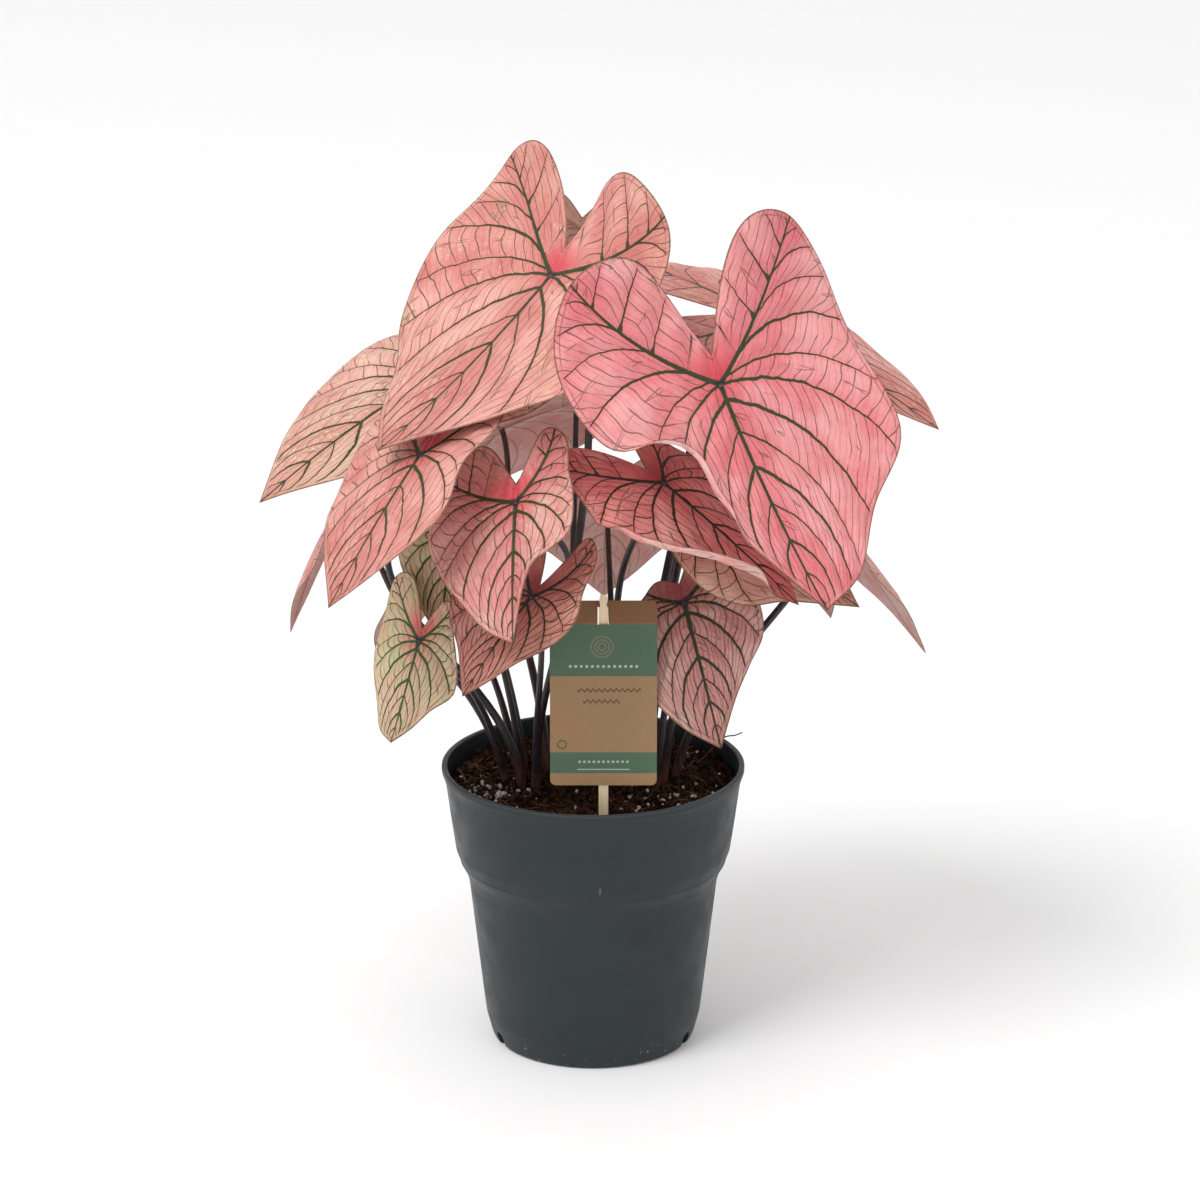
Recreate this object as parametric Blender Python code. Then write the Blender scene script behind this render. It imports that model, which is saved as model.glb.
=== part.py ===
"""A caladium in its nursery pot: pot, soil, tubers, leaves on their stems and a stick-in label.

The origin is on the surface the pot stands on, under the middle of the pot. +Z is up and -Y is
the front. Sizes below are millimetres and degrees; meshes are made in metres.
"""
import math
from collections import namedtuple

import bmesh
import bpy
import numpy as np

MM = 0.001
GAP = 0.3
CUT_OVERRUN = 2.0
TINY = 1e-6

# Pot: a 130 mm nursery pot. Radii are the outer wall's; the inner wall lies one wall further in.
RIM_RADIUS = 65.0
RIM_WIDTH = 2.4
RIM_EDGE = 0.8
RIM_LIP = 1.2
LIP_BOTTOM = 118.5
POT_HEIGHT = 124.0
POT_WALL = 1.2
WALL_PROFILE = ((44.4, 3.3), (46.6, 11.6), (53.6, 72.5), (55.0, 77.0), (57.8, 82.0),
                (59.2, 87.0), (63.2, 116.5))
FOOT_RADIUS = 41.5
FOOT_RING_WIDTH = 3.0
FOOT_EDGE_WIDTH = 2.0
FOOT_EDGE_HEIGHT = 0.8
BASE_LIFT = 3.0
BASE_THICKNESS = 1.5
POT_SEGMENTS = 36
DRAIN_HOLES = 6
DRAIN_RADIUS = 4.0
DRAIN_CIRCLE = 27.0
DRAIN_SIDES = 12
NOTCH_WIDTH = 6.0
NOTCH_HEIGHT = 7.0
NOTCH_ARCH_POINTS = 7
NOTCH_BEARINGS = (-154.0, -26.0, 90.0)

# Soil: its surface is bumpy, and its rings are shares of the pot's radius there.
SOIL_LEVEL = 114.0
SOIL_BUMP = 1.3
SOIL_RINGS = (0.93, 0.78, 0.62, 0.46, 0.3, 0.14)
SOIL_SEED = 11

# Tubers: flat and round. The profile is a share of the radius and a share of the height.
TUBER_CROWN = 103.0
TUBER_HEIGHT = 24.0
TUBER_RADIUS = 20.0
TUBER_PROFILE = ((0.6, 0.0), (0.9, 0.2), (1.0, 0.5), (0.96, 0.83), (0.86, 1.0))
TUBER_SIDES = 20
TUBERS = {"tuber_left": (-22.0, 6.0), "tuber_right": (20.0, 5.0)}

# Label card: its top is folded back, and a slot just above the fold lets the stake through.
CARD_WIDTH = 44.6
CARD_BOTTOM = 132.4
CARD_FOLD = 203.5
CARD_FLAP = 9.6
CARD_FOLD_ANGLE = 27.0
CARD_THICKNESS = 0.7
CARD_CORNER = 2.5
CARD_CORNER_POINTS = 5
CARD_CENTRE = (4.4, -50.3)
SLOT_WIDTH = 4.8
SLOT_FROM_FOLD = (-0.4, 7.0)

# Label stake: a pointed foot, a straight shaft and a peg. The peg's profile is a share of the
# shaft's half width and a height above its neck.
STAKE_WIDTH = 4.0
STAKE_THICKNESS = 1.8
STAKE_BOTTOM = 72.0
STAKE_TOP = 216.0
STAKE_POINT_WIDTH = 2.0
STAKE_POINT_LENGTH = 8.0
PEG_HEIGHT = 6.0
PEG_PROFILE = ((1.0, 0.0), (0.65, 1.0), (0.85, 3.5), (0.5, PEG_HEIGHT))
STAKE_HOLE_ABOVE_SOIL = 6.0

# Leaf outline. A plain heart's reach is the distance from the junction with the stem to the
# margin, as a share of the leaf's length, at these angles from the tip. A leaf widens or narrows
# it by its own five shape factors: beside the tip, at the waist, the side, the shoulder and the
# lobe. Its turn swings the sinus towards its right half, in degrees.
REACH_ANGLES = (14, 32, 56, 86, 114, 138, 156)
HEART_REACH = (0.80, 0.66, 0.60, 0.60, 0.66, 0.73, 0.62)
HEART_SINUS = 0.13
SHAPE_ANGLES = (20, 55, 85, 120, 150)
CURVE_STEPS = 8
HALF_MARGIN_POINTS = 17

# Leaf blade. Lobes reach back, and halves reach out, by these shares of the length.
LOBE_SHARE = 0.65
HALF_WIDTH_SHARE = 0.6
BLADE_RINGS = (0.25, 0.5, 0.75, 1.0)
SMALL_BLADE_RINGS = (0.3, 0.65, 1.0)
SMALL_BLADE_LENGTH = 70.0
BLADE_HALF_THICKNESS = 0.4
JUNCTION_DEPTH = 1.0
VEINS_PER_HALF = 4
RIB_DEPTH = 0.6
RIB_MARGIN_SHARE = 0.2
QUILT = 1.1
MARGIN_WAVES = 2.6
WAVE_SIDE_PHASE = 0.9
WAVE_LENGTH_PHASE = 0.07

# Stems. Radius is a base plus a share of the leaf's length, and it tapers towards the blade.
STEM_BASE_RADIUS = 1.0
STEM_RADIUS_SHARE = 0.01
STEM_TAPER = 0.65
STEM_END_RADIUS = 1.2
STEM_SIDES = 6
STEM_STEPS = 8
STEM_STRAIGHT_TOP = 119.0
STEM_LEAN = 0.8
STEM_ARRIVAL = 0.75
STEM_START_PULL = 1.2
STEM_END_PULL = 0.9
STEM_VIA_PULL = 1.1
RING_START = (0.3, 1.0, 0.0)

# Shading angles below which neighbouring faces look smooth
SMOOTH_ANGLE = 40.0
LEAF_SMOOTH_ANGLE = 60.0

# Material: colour and roughness
MATERIALS = {
    "slate_plastic": ((0.045, 0.058, 0.062), 0.45),
    "peat_soil": ((0.03, 0.018, 0.012), 0.95),
    "tuber_skin": ((0.16, 0.09, 0.05), 0.85),
    "kraft_card": ((0.45, 0.29, 0.17), 0.8),
    "pale_wood": ((0.75, 0.58, 0.36), 0.6),
    "pink_leaf": ((0.78, 0.25, 0.26), 0.5),
    "rose_leaf": ((0.80, 0.16, 0.22), 0.5),
    "dusky_leaf": ((0.55, 0.16, 0.20), 0.5),
    "pale_leaf": ((0.72, 0.55, 0.42), 0.5),
}

# Each leaf: stem root on the soil (x, y), junction (x, y, z), aim (heading, pitch, roll) and
# length from junction to tip. Left and right are the halves' shape factors. Bend is how far the
# midrib arches down and the lobes bend down. Droop is how far each half curls down: left at the
# lobes and at the tip, then right. Wave is the height of the margin's waves. Via is a place the
# stem passes on its way round its neighbours.
PLAIN = (1.0, 1.0, 1.0, 1.0, 1.0)
Leaf = namedtuple("Leaf", "name root junction aim length left right turn bend droop wave via tone",
                  defaults=(PLAIN, PLAIN, 0, (15, 5), (15, 18, 15, 18), 1.5, None, "pink_leaf"))
LEAVES = (
    Leaf("leaf_top_left", (-16, -1), (-17, -30, 347), (207, -45, -1), 105,
         left=(1.0, 1.12, 0.98, 1.0, 0.7), right=(1.1, 1.25, 1.2, 1.04, 0.93), turn=13,
         bend=(-12, -58), droop=(12, 28, -15, -15), wave=2.0),
    Leaf("leaf_front_right", (17, -6), (51, -85, 316), (-20, -67, 32), 103,
         left=(1.2, 1.43, 1.15, 1.1, 1.0), right=(0.85, 0.6, 0.97, 1.15, 1.05), turn=-4,
         bend=(-14, -22), droop=(4, -12, 19, 12), wave=2.0, via=(41, -14, 264), tone="rose_leaf"),
    Leaf("leaf_left_front", (-30.5, -7), (-70, -66, 281), (231, -37, 15), 79,
         left=(1.05, 0.95, 0.7, 0.75, 0.85), right=(1.0, 1.05, 1.05, 0.95, 1.0),
         bend=(8, -8), droop=(0, 9, 8, 5), wave=2.0, via=(-85, -21, 216)),
    Leaf("leaf_front_centre", (-24, -4), (-31, -82, 266), (266, -42, 26), 65,
         left=(0.65, 0.8, 0.7, 0.6, 0.8), right=(1.1, 1.15, 1.25, 0.9, 0.75),
         bend=(10, -28), droop=(11, 15, 21, 8), via=(-10, -50, 230)),
    Leaf("leaf_centre_right", (10, -9), (29, -52, 265), (-24, -33, 9), 77,
         left=(0.95, 0.8, 0.75, 0.65, 0.6), right=(0.95, 0.95, 1.0, 0.85, 0.85),
         bend=(8, 4), droop=(15, 15, 18, 20), wave=2.0, via=(11, -16, 208), tone="dusky_leaf"),
    Leaf("leaf_front_low", (-24.5, -11), (-25, -77, 224), (215, -41, -2), 51,
         left=(1.0, 1.0, 0.95, 0.8, 1.1), right=(1.05, 1.3, 1.4, 1.2, 1.1),
         bend=(12, -40), droop=(10, 16, -4, -14), via=(-21, -67, 207), tone="dusky_leaf"),
    Leaf("leaf_right_low", (27, -7), (38, -32, 207), (-60, -60, 26), 65,
         left=(0.9, 0.95, 0.8, 0.65, 0.6), right=(1.05, 1.0, 0.65, 0.35, 0.3),
         droop=(18, 15, 8, 12), tone="dusky_leaf"),
    Leaf("leaf_left_low", (-37, -2), (-72, -50, 196), (229, -66, 5), 45,
         left=(1.05, 1.15, 0.85, 0.65, 0.75), right=(1.15, 1.05, 1.05, 1.05, 1.0),
         bend=(0, -10), droop=(4, 21, 10, 11), wave=1.2, tone="pale_leaf"),
    Leaf("leaf_left_high", (-30, 15), (-73, 17, 288), (217, -19, -8), 92,
         left=(0.95, 0.75, 0.8, 0.9, 1.0), right=(0.95, 0.95, 0.85, 0.85, 0.9),
         bend=(13, 7), droop=(16, 18, 15, 16), wave=2.0, via=(-55, 23, 222)),
    Leaf("leaf_right_high", (23, 8), (67, -8, 324), (-25, -19, 2), 94,
         turn=46, bend=(13, 12), droop=(14, 22, -10, 14), wave=2.0, via=(39, 5, 225)),
    Leaf("leaf_left_drooping", (-38, 9), (-107, 19, 235), (167, -61, -1), 67, via=(-83, 3, 196)),
    Leaf("leaf_right_drooping", (35, 6), (102, -5, 234), (12, -54, -7), 76,
         bend=(5, 10), droop=(16, 16, 7, 25), via=(93, -3, 215)),
    Leaf("leaf_right_under", (30, 1), (58, -24, 242), (-14, -33, 16), 67,
         left=(1.0, 1.0, 0.9, 0.7, 0.55), right=(1.0, 1.15, 1.1, 0.9, 0.7),
         bend=(0, -5), droop=(15, 15, 9, 28), via=(51, -12, 223)),
    Leaf("leaf_left_under", (-30, 3), (-58, -25, 234), (250, -60, 0), 45, tone="pale_leaf"),
    Leaf("leaf_top_rear", (-10, 12), (-5, 40, 350), (98, -55, 8), 50,
         left=(1.0, 1.0, 0.9, 0.85, 0.85), right=(1.0, 1.0, 0.9, 0.85, 0.85), tone="pale_leaf"),
    Leaf("leaf_rear_right_high", (17, 14), (46, 69, 288), (62, -38, 0), 88, via=(39, 36, 228)),
    Leaf("leaf_rear_right_low", (29, 13), (79, 49, 219), (34, -52, 0), 62),
    Leaf("leaf_rear_middle", (10, 18), (6, 74, 220), (92, -50, 0), 70),
    Leaf("leaf_rear_left_high", (-20, 17), (-40, 75, 252), (128, -40, 0), 86,
         right=(1.0, 1.0, 1.0, 1.1, 1.1), droop=(15, 18, 36, 18), via=(-38, 70, 197)),
    Leaf("leaf_rear_left_low", (-33, 19), (-68, 42, 200), (145, -52, 0), 62),
)


def clear_scene():
    """Start from an empty scene."""
    for old in list(bpy.data.objects):
        bpy.data.objects.remove(old, do_unlink=True)


def make_material(name):
    """A plain Principled material with the named colour and roughness."""
    colour, roughness = MATERIALS[name]
    material = bpy.data.materials.new(name)
    material.use_nodes = True
    shader = material.node_tree.nodes["Principled BSDF"]
    shader.inputs["Base Color"].default_value = (*colour, 1.0)
    shader.inputs["Roughness"].default_value = roughness
    shader.inputs["Metallic"].default_value = 0.0
    return material


def add_mesh_object(name, points, faces, material=None, smooth_angle=None):
    """A mesh object from points in millimetres."""
    mesh = bpy.data.meshes.new(name)
    scaled = [(x * MM, y * MM, z * MM) for x, y, z in points]
    mesh.from_pydata(scaled, [], [tuple(int(i) for i in face) for face in faces])
    mesh.update()
    if smooth_angle is not None:
        mesh.shade_smooth()
        mesh.set_sharp_from_angle(angle=math.radians(smooth_angle))
    if material is not None:
        mesh.materials.append(material)
    placed = bpy.data.objects.new(name, mesh)
    bpy.context.scene.collection.objects.link(placed)
    return placed


def combine(target, operation, tools):
    """Cut the tools from the target, or join them to it, and remove the tools."""
    group = bpy.data.collections.new("tools")
    bpy.context.scene.collection.children.link(group)
    for tool in tools:
        group.objects.link(tool)
        tool.hide_render = True
        tool.display_type = "WIRE"
    boolean = target.modifiers.new("combine", "BOOLEAN")
    boolean.operation = operation
    boolean.operand_type = "COLLECTION"
    boolean.collection = group
    view = bpy.context.evaluated_depsgraph_get()
    view.update()
    result = bpy.data.meshes.new_from_object(target.evaluated_get(view))
    target.modifiers.clear()
    target.data = result
    for tool in tools:
        bpy.data.objects.remove(tool, do_unlink=True)
    bpy.data.collections.remove(group)


def turned(profile, segments):
    """Points and faces of a closed profile of (radius, height), turned round the Z axis."""
    angles = np.arange(segments) * math.tau / segments
    points = []
    rows = []
    for radius, height in profile:
        if radius == 0:
            rows.append([len(points)] * segments)
            points.append((0.0, 0.0, height))
            continue
        rows.append(list(range(len(points), len(points) + segments)))
        points.extend((radius * math.cos(a), radius * math.sin(a), height) for a in angles)
    faces = []
    for row, following in zip(rows, rows[1:]):
        for i in range(segments):
            j = (i + 1) % segments
            corners = (row[i], row[j], following[j], following[i])
            faces.append(tuple(dict.fromkeys(corners)))
    return points, faces


def prism_faces(count):
    """Faces of a prism: one outline, then the same outline further along."""
    sides = [(i, (i + 1) % count, count + (i + 1) % count, count + i) for i in range(count)]
    return [tuple(reversed(range(count))), tuple(range(count, 2 * count)), *sides]


def pot_outer_profile():
    """The outer wall from the foot's contact ring up to the top of the rim."""
    return [(FOOT_RADIUS - FOOT_RING_WIDTH, 0.0), (FOOT_RADIUS, 0.0),
            (FOOT_RADIUS + FOOT_EDGE_WIDTH, FOOT_EDGE_HEIGHT), *WALL_PROFILE,
            (RIM_RADIUS - RIM_LIP, LIP_BOTTOM - RIM_EDGE), (RIM_RADIUS, LIP_BOTTOM),
            (RIM_RADIUS, POT_HEIGHT - RIM_EDGE), (RIM_RADIUS - RIM_EDGE, POT_HEIGHT)]


def pot_inner_profile():
    """The inner wall from the floor of the pot up to below the rim."""
    floor = BASE_LIFT + BASE_THICKNESS
    walls = [(radius - POT_WALL, height) for radius, height in WALL_PROFILE[1:]]
    return [(WALL_PROFILE[0][0] - POT_WALL, floor), *walls]


def make_pot(material):
    """The thin-walled pot, with drain holes in its floor and notches in its foot."""
    floor = BASE_LIFT + BASE_THICKNESS
    profile = [(0.0, BASE_LIFT), (FOOT_RADIUS - FOOT_RING_WIDTH, BASE_LIFT), *pot_outer_profile(),
               (RIM_RADIUS - RIM_WIDTH, POT_HEIGHT), *reversed(pot_inner_profile()), (0.0, floor)]
    pot = add_mesh_object("nursery_pot", *turned(profile, POT_SEGMENTS), material, SMOOTH_ANGLE)
    bearings = [math.tau * (index + 0.5) / DRAIN_HOLES for index in range(DRAIN_HOLES)]
    cutters = [make_drain_cutter(bearing) for bearing in bearings]
    cutters.extend(make_notch_cutter(math.radians(bearing)) for bearing in NOTCH_BEARINGS)
    combine(pot, "DIFFERENCE", cutters)
    return pot


def make_drain_cutter(bearing):
    """An upright cylinder through the floor of the pot at a bearing from +X."""
    low = BASE_LIFT - CUT_OVERRUN
    high = BASE_LIFT + BASE_THICKNESS + CUT_OVERRUN
    profile = [(0.0, low), (DRAIN_RADIUS, low), (DRAIN_RADIUS, high), (0.0, high)]
    points, faces = turned(profile, DRAIN_SIDES)
    centre_x = DRAIN_CIRCLE * math.cos(bearing)
    centre_y = DRAIN_CIRCLE * math.sin(bearing)
    return add_mesh_object("cutter", [(x + centre_x, y + centre_y, z) for x, y, z in points], faces)


def make_notch_cutter(bearing):
    """An arched cutter through the foot of the pot at a bearing from +X."""
    half = NOTCH_WIDTH / 2
    straight = NOTCH_HEIGHT - half
    arch = [(half * math.cos(a), straight + half * math.sin(a))
            for a in np.linspace(0.0, math.pi, NOTCH_ARCH_POINTS)]
    outline = [(-half, -CUT_OVERRUN), (half, -CUT_OVERRUN), *arch]
    inside = FOOT_RADIUS - FOOT_RING_WIDTH - CUT_OVERRUN
    outside = WALL_PROFILE[1][0] + CUT_OVERRUN
    along = np.array([math.cos(bearing), math.sin(bearing)])
    across = np.array([-math.sin(bearing), math.cos(bearing)])
    points = []
    for distance in (inside, outside):
        for offset, height in outline:
            place = along * distance + across * offset
            points.append((place[0], place[1], height))
    return add_mesh_object("cutter", points, prism_faces(len(outline)))


def make_tuber(name, centre, grow, material):
    """A flat round tuber with a level crown. Grow makes the cavity that it lies in."""
    radius = TUBER_RADIUS + grow
    top = TUBER_CROWN + grow
    bottom = TUBER_CROWN - TUBER_HEIGHT - grow
    side = [(share * radius, bottom + rise * (top - bottom)) for share, rise in TUBER_PROFILE]
    points, faces = turned([(0.0, bottom), *side, (0.0, top)], TUBER_SIDES)
    shifted = [(x + centre[0], y + centre[1], z) for x, y, z in points]
    return add_mesh_object(name, shifted, faces, material, SMOOTH_ANGLE)


def make_soil(material):
    """The root ball: it fills the pot, with holes for the stems, tubers and label stake."""
    rng = np.random.default_rng(SOIL_SEED)
    walls = [(radius - GAP, height) for radius, height in pot_inner_profile()]
    walls[0] = (walls[0][0], walls[0][1] + GAP)
    radii, heights = zip(*walls)
    edge_radius = float(np.interp(SOIL_LEVEL, heights, radii))
    sides = [point for point in walls if point[1] < SOIL_LEVEL]
    surface = [(share * edge_radius, SOIL_LEVEL) for share in (1.0, *SOIL_RINGS, 0.0)]
    points, faces = turned([(0.0, walls[0][1]), *sides, *surface], POT_SEGMENTS)
    first_loose = 1 + (len(sides) + 1) * POT_SEGMENTS
    for index in range(first_loose, len(points)):
        x, y, z = points[index]
        points[index] = (x, y, z + rng.uniform(-SOIL_BUMP, SOIL_BUMP))
    soil = add_mesh_object("soil", points, triangulate(faces), material, SMOOTH_ANGLE)
    cutters = [make_stem_hole(leaf) for leaf in LEAVES]
    cutters.extend(make_tuber("cutter", centre, GAP, None) for centre in TUBERS.values())
    cutters.append(make_stake_hole())
    combine(soil, "DIFFERENCE", cutters)
    return soil


def triangulate(faces):
    """Split four-sided faces into triangles."""
    split = []
    for face in faces:
        split.extend((face[0], face[i], face[i + 1]) for i in range(1, len(face) - 1))
    return split


def smooth_curve(points, count):
    """Points at equal steps along a Catmull-Rom curve through the given points."""
    points = np.asarray(points, float)
    padded = np.vstack([2 * points[0] - points[1], points, 2 * points[-1] - points[-2]])
    t = np.linspace(0.0, 1.0, CURVE_STEPS, endpoint=False)[:, None]
    pieces = []
    for p0, p1, p2, p3 in zip(padded, padded[1:], padded[2:], padded[3:]):
        pieces.append(0.5 * (2 * p1 + (p2 - p0) * t + (2 * p0 - 5 * p1 + 4 * p2 - p3) * t ** 2
                             + (3 * p1 - p0 - 3 * p2 + p3) * t ** 3))
    curve = np.vstack([*pieces, points[-1:]])
    run = np.concatenate([[0.0], np.cumsum(np.linalg.norm(np.diff(curve, axis=0), axis=1))])
    even = np.linspace(0.0, run[-1], count)
    return np.stack([np.interp(even, run, curve[:, axis]) for axis in range(curve.shape[1])], axis=1)


def half_margin(leaf, shape, side):
    """One half of the flat margin from tip to sinus. Side is 1 for left and -1 for right."""
    reaches = np.array(HEART_REACH) * np.interp(REACH_ANGLES, SHAPE_ANGLES, shape)
    span = (180 + side * leaf.turn) / 180
    angles = span * np.radians((0, *REACH_ANGLES, 180))
    radii = leaf.length * np.array((1.0, *reaches, HEART_SINUS))
    knots = np.stack([radii * np.cos(angles), side * radii * np.sin(angles)], axis=1)
    return smooth_curve(knots, HALF_MARGIN_POINTS)


def blade_points(leaf, flat, offset):
    """Curl flat blade points (x to the tip, y to the left) into space, offset off the surface.

    The midrib bends as an arc of its own in front of and behind the junction. Across it each
    half droops as an arc whose angle changes evenly from the lobes to the tip.
    """
    x, y = flat[:, 0], flat[:, 1]
    lobe_length = LOBE_SHARE * leaf.length
    arch, lobe_bend = np.radians(leaf.bend)
    curl = np.where(x >= 0, arch / leaf.length, lobe_bend / lobe_length) + TINY
    turn = curl * np.abs(x)
    forward = np.sign(x)
    spine = np.stack([forward * np.sin(turn) / curl, 0 * x, -(1 - np.cos(turn)) / curl], axis=1)
    spine_normal = np.stack([forward * np.sin(turn), 0 * x, np.cos(turn)], axis=1)
    share = np.clip((x + lobe_length) / (leaf.length + lobe_length), 0, 1)
    left_back, left_front, right_back, right_front = np.radians(leaf.droop)
    left = left_back + (left_front - left_back) * share
    right = right_back + (right_front - right_back) * share
    droop = np.where(y >= 0, left, right) / (HALF_WIDTH_SHARE * leaf.length)
    droop = np.where(np.abs(droop) < TINY, TINY, droop)
    roll = droop * np.abs(y)
    outward = np.stack([0 * x, np.sign(y), 0 * x], axis=1)
    place = spine + outward * (np.sin(roll) / droop)[:, None]
    place = place - spine_normal * ((1 - np.cos(roll)) / droop)[:, None]
    normal = spine_normal * np.cos(roll)[:, None] + outward * np.sin(roll)[:, None]
    local = place + normal * np.asarray(offset)[:, None]
    return local @ leaf_axes(leaf).T + np.array(leaf.junction, float)


def leaf_axes(leaf):
    """Columns: along the midrib to the tip, to the blade's left, and out of its upper face."""
    heading, pitch, roll = np.radians(leaf.aim)
    midrib = np.array([math.cos(pitch) * math.cos(heading), math.cos(pitch) * math.sin(heading),
                       math.sin(pitch)])
    level = np.array([-math.sin(heading), math.cos(heading), 0.0])
    upright = np.cross(midrib, level)
    left = level * math.cos(roll) + upright * math.sin(roll)
    return np.stack([midrib, left, np.cross(midrib, left)], axis=1)


def blade_lift(leaf, ring, along, side):
    """Height of the wavy margin and of the swellings between the veins."""
    phase = WAVE_SIDE_PHASE * side + WAVE_LENGTH_PHASE * leaf.length
    wave = leaf.wave * ring ** 2 * np.sin(math.pi * along)
    wave = wave * np.sin(math.tau * MARGIN_WAVES * along + phase)
    swelling = QUILT * np.sin(math.pi * ring) * np.sin(VEINS_PER_HALF * math.pi * along) ** 2
    return wave + swelling


def make_blade(leaf, material):
    """The blade: two faces split into triangles alike, joined round the margin."""
    left = half_margin(leaf, leaf.left, 1)
    right = half_margin(leaf, leaf.right, -1)[-2:0:-1]
    margin = np.vstack([left, right])
    spokes = len(margin)
    steps = HALF_MARGIN_POINTS - 1
    along = np.concatenate([np.arange(steps + 1), np.arange(steps - 1, 0, -1)]) / steps
    side = np.where(np.arange(spokes) <= steps, 1.0, -1.0)
    on_vein = np.arange(spokes) % (steps // VEINS_PER_HALF) == 0
    rings = SMALL_BLADE_RINGS if leaf.length <= SMALL_BLADE_LENGTH else BLADE_RINGS
    flat = [np.zeros((1, 2))]
    upper = [np.array([BLADE_HALF_THICKNESS])]
    lower = [np.array([-BLADE_HALF_THICKNESS - JUNCTION_DEPTH])]
    for ring in rings:
        lift = blade_lift(leaf, ring, along, side)
        fade = 1.0 - (1.0 - RIB_MARGIN_SHARE) * ring
        rib = np.where(on_vein, RIB_DEPTH * fade, 0.0)
        flat.append(margin * ring)
        upper.append(lift + BLADE_HALF_THICKNESS)
        lower.append(lift - BLADE_HALF_THICKNESS - rib)
    flat = np.vstack(flat)
    points = np.vstack([blade_points(leaf, flat, np.concatenate(upper)),
                        blade_points(leaf, flat, np.concatenate(lower))])
    top, rim = blade_faces(spokes, len(rings))
    under = [tuple(index + len(flat) for index in reversed(face)) for face in top]
    return add_mesh_object(leaf.name, points, top + under + rim, material, LEAF_SMOOTH_ANGLE)


def blade_faces(spokes, rings):
    """Triangles of the upper face, and those of the edge that closes it to the lower face."""
    face_points = 1 + rings * spokes
    top = []
    for i in range(spokes):
        j = (i + 1) % spokes
        top.append((0, 1 + i, 1 + j))
        for ring in range(rings - 1):
            near, far = 1 + ring * spokes, 1 + (ring + 1) * spokes
            top.append((near + i, far + i, far + j))
            top.append((near + i, far + j, near + j))
    first = face_points - spokes
    rim = []
    for i in range(spokes):
        a, b = first + i, first + (i + 1) % spokes
        rim.append((a, a + face_points, b + face_points))
        rim.append((a, b + face_points, b))
    return top, rim


def stem_route(leaf):
    """Points of the stem's centre line from the tuber's crown to the blade."""
    soil_point = np.array([*leaf.root, SOIL_LEVEL], float)
    junction = np.array(leaf.junction, float)
    up = np.array([0.0, 0.0, 1.0])
    leaning = unit(up + STEM_LEAN * unit(junction - soil_point))
    foot = soil_point - leaning * (SOIL_LEVEL - TUBER_CROWN - 2 * GAP) / leaning[2]
    start = soil_point + leaning * (STEM_STRAIGHT_TOP - SOIL_LEVEL) / leaning[2]
    arrival = unit(STEM_ARRIVAL * leaf_axes(leaf)[:, 2] + (1.0 - STEM_ARRIVAL) * up)
    if leaf.via is None:
        pulls = STEM_START_PULL * leaning, STEM_END_PULL * arrival
        return np.vstack([foot, start, hermite(start, junction, *pulls, STEM_STEPS)])
    via = np.array(leaf.via, float)
    passing = unit(junction - start)
    lower = hermite(start, via, STEM_VIA_PULL * leaning, passing, STEM_STEPS // 2)
    upper = hermite(via, junction, passing, STEM_VIA_PULL * arrival, STEM_STEPS // 2)
    return np.vstack([foot, start, lower, upper])


def unit(vector):
    """The same direction at length 1."""
    return vector / np.linalg.norm(vector)


def hermite(start, end, start_pull, end_pull, steps):
    """Points after the start of a curve between two places, pulled along a direction at each."""
    span = np.linalg.norm(end - start)
    t = np.linspace(0.0, 1.0, steps + 1)[1:, None]
    return ((2 * t ** 3 - 3 * t ** 2 + 1) * start + (3 * t ** 2 - 2 * t ** 3) * end
            + (t ** 3 - 2 * t ** 2 + t) * span * start_pull + (t ** 3 - t ** 2) * span * end_pull)


def stem_radius(leaf):
    """Radius of the stem where it leaves the soil."""
    return STEM_BASE_RADIUS + STEM_RADIUS_SHARE * leaf.length


def make_tube(name, route, radii, end_direction=None):
    """A closed tube round a route. Its last ring faces the end direction."""
    tangents = np.gradient(route, axis=0)
    tangents /= np.linalg.norm(tangents, axis=1)[:, None]
    if end_direction is not None:
        tangents[-1] = end_direction
    across = np.cross(tangents[0], RING_START)
    points = []
    for centre, tangent, radius in zip(route, tangents, radii):
        across = unit(across - tangent * np.dot(across, tangent))
        other = np.cross(tangent, across)
        for k in range(STEM_SIDES):
            angle = math.tau * k / STEM_SIDES
            points.append(centre + radius * (math.cos(angle) * across + math.sin(angle) * other))
    rings = len(route)
    faces = [tuple(reversed(range(STEM_SIDES)))]
    for ring in range(rings - 1):
        for k in range(STEM_SIDES):
            a, b = ring * STEM_SIDES + k, ring * STEM_SIDES + (k + 1) % STEM_SIDES
            faces.append((a, b, b + STEM_SIDES, a + STEM_SIDES))
    faces.append(tuple(range((rings - 1) * STEM_SIDES, rings * STEM_SIDES)))
    return add_mesh_object(name, points, faces)


def make_stem_hole(leaf):
    """The cutter for a stem's hole through the soil above its tuber."""
    foot, start = stem_route(leaf)[:2]
    route = np.array([foot + unit(foot - start) * CUT_OVERRUN, start])
    return make_tube("cutter", route, [stem_radius(leaf) + GAP] * 2)


def make_leaf(leaf, material):
    """One leaf: its blade and stem, grown together."""
    blade = make_blade(leaf, material)
    base = stem_radius(leaf)
    radii = np.concatenate([[base], np.linspace(base, STEM_TAPER * base, STEM_STEPS + 1)])
    radii[-1] = min(radii[-1], STEM_END_RADIUS)
    stem = make_tube("stem", stem_route(leaf), radii, leaf_axes(leaf)[:, 2])
    combine(blade, "UNION", [stem])
    return blade


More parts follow.
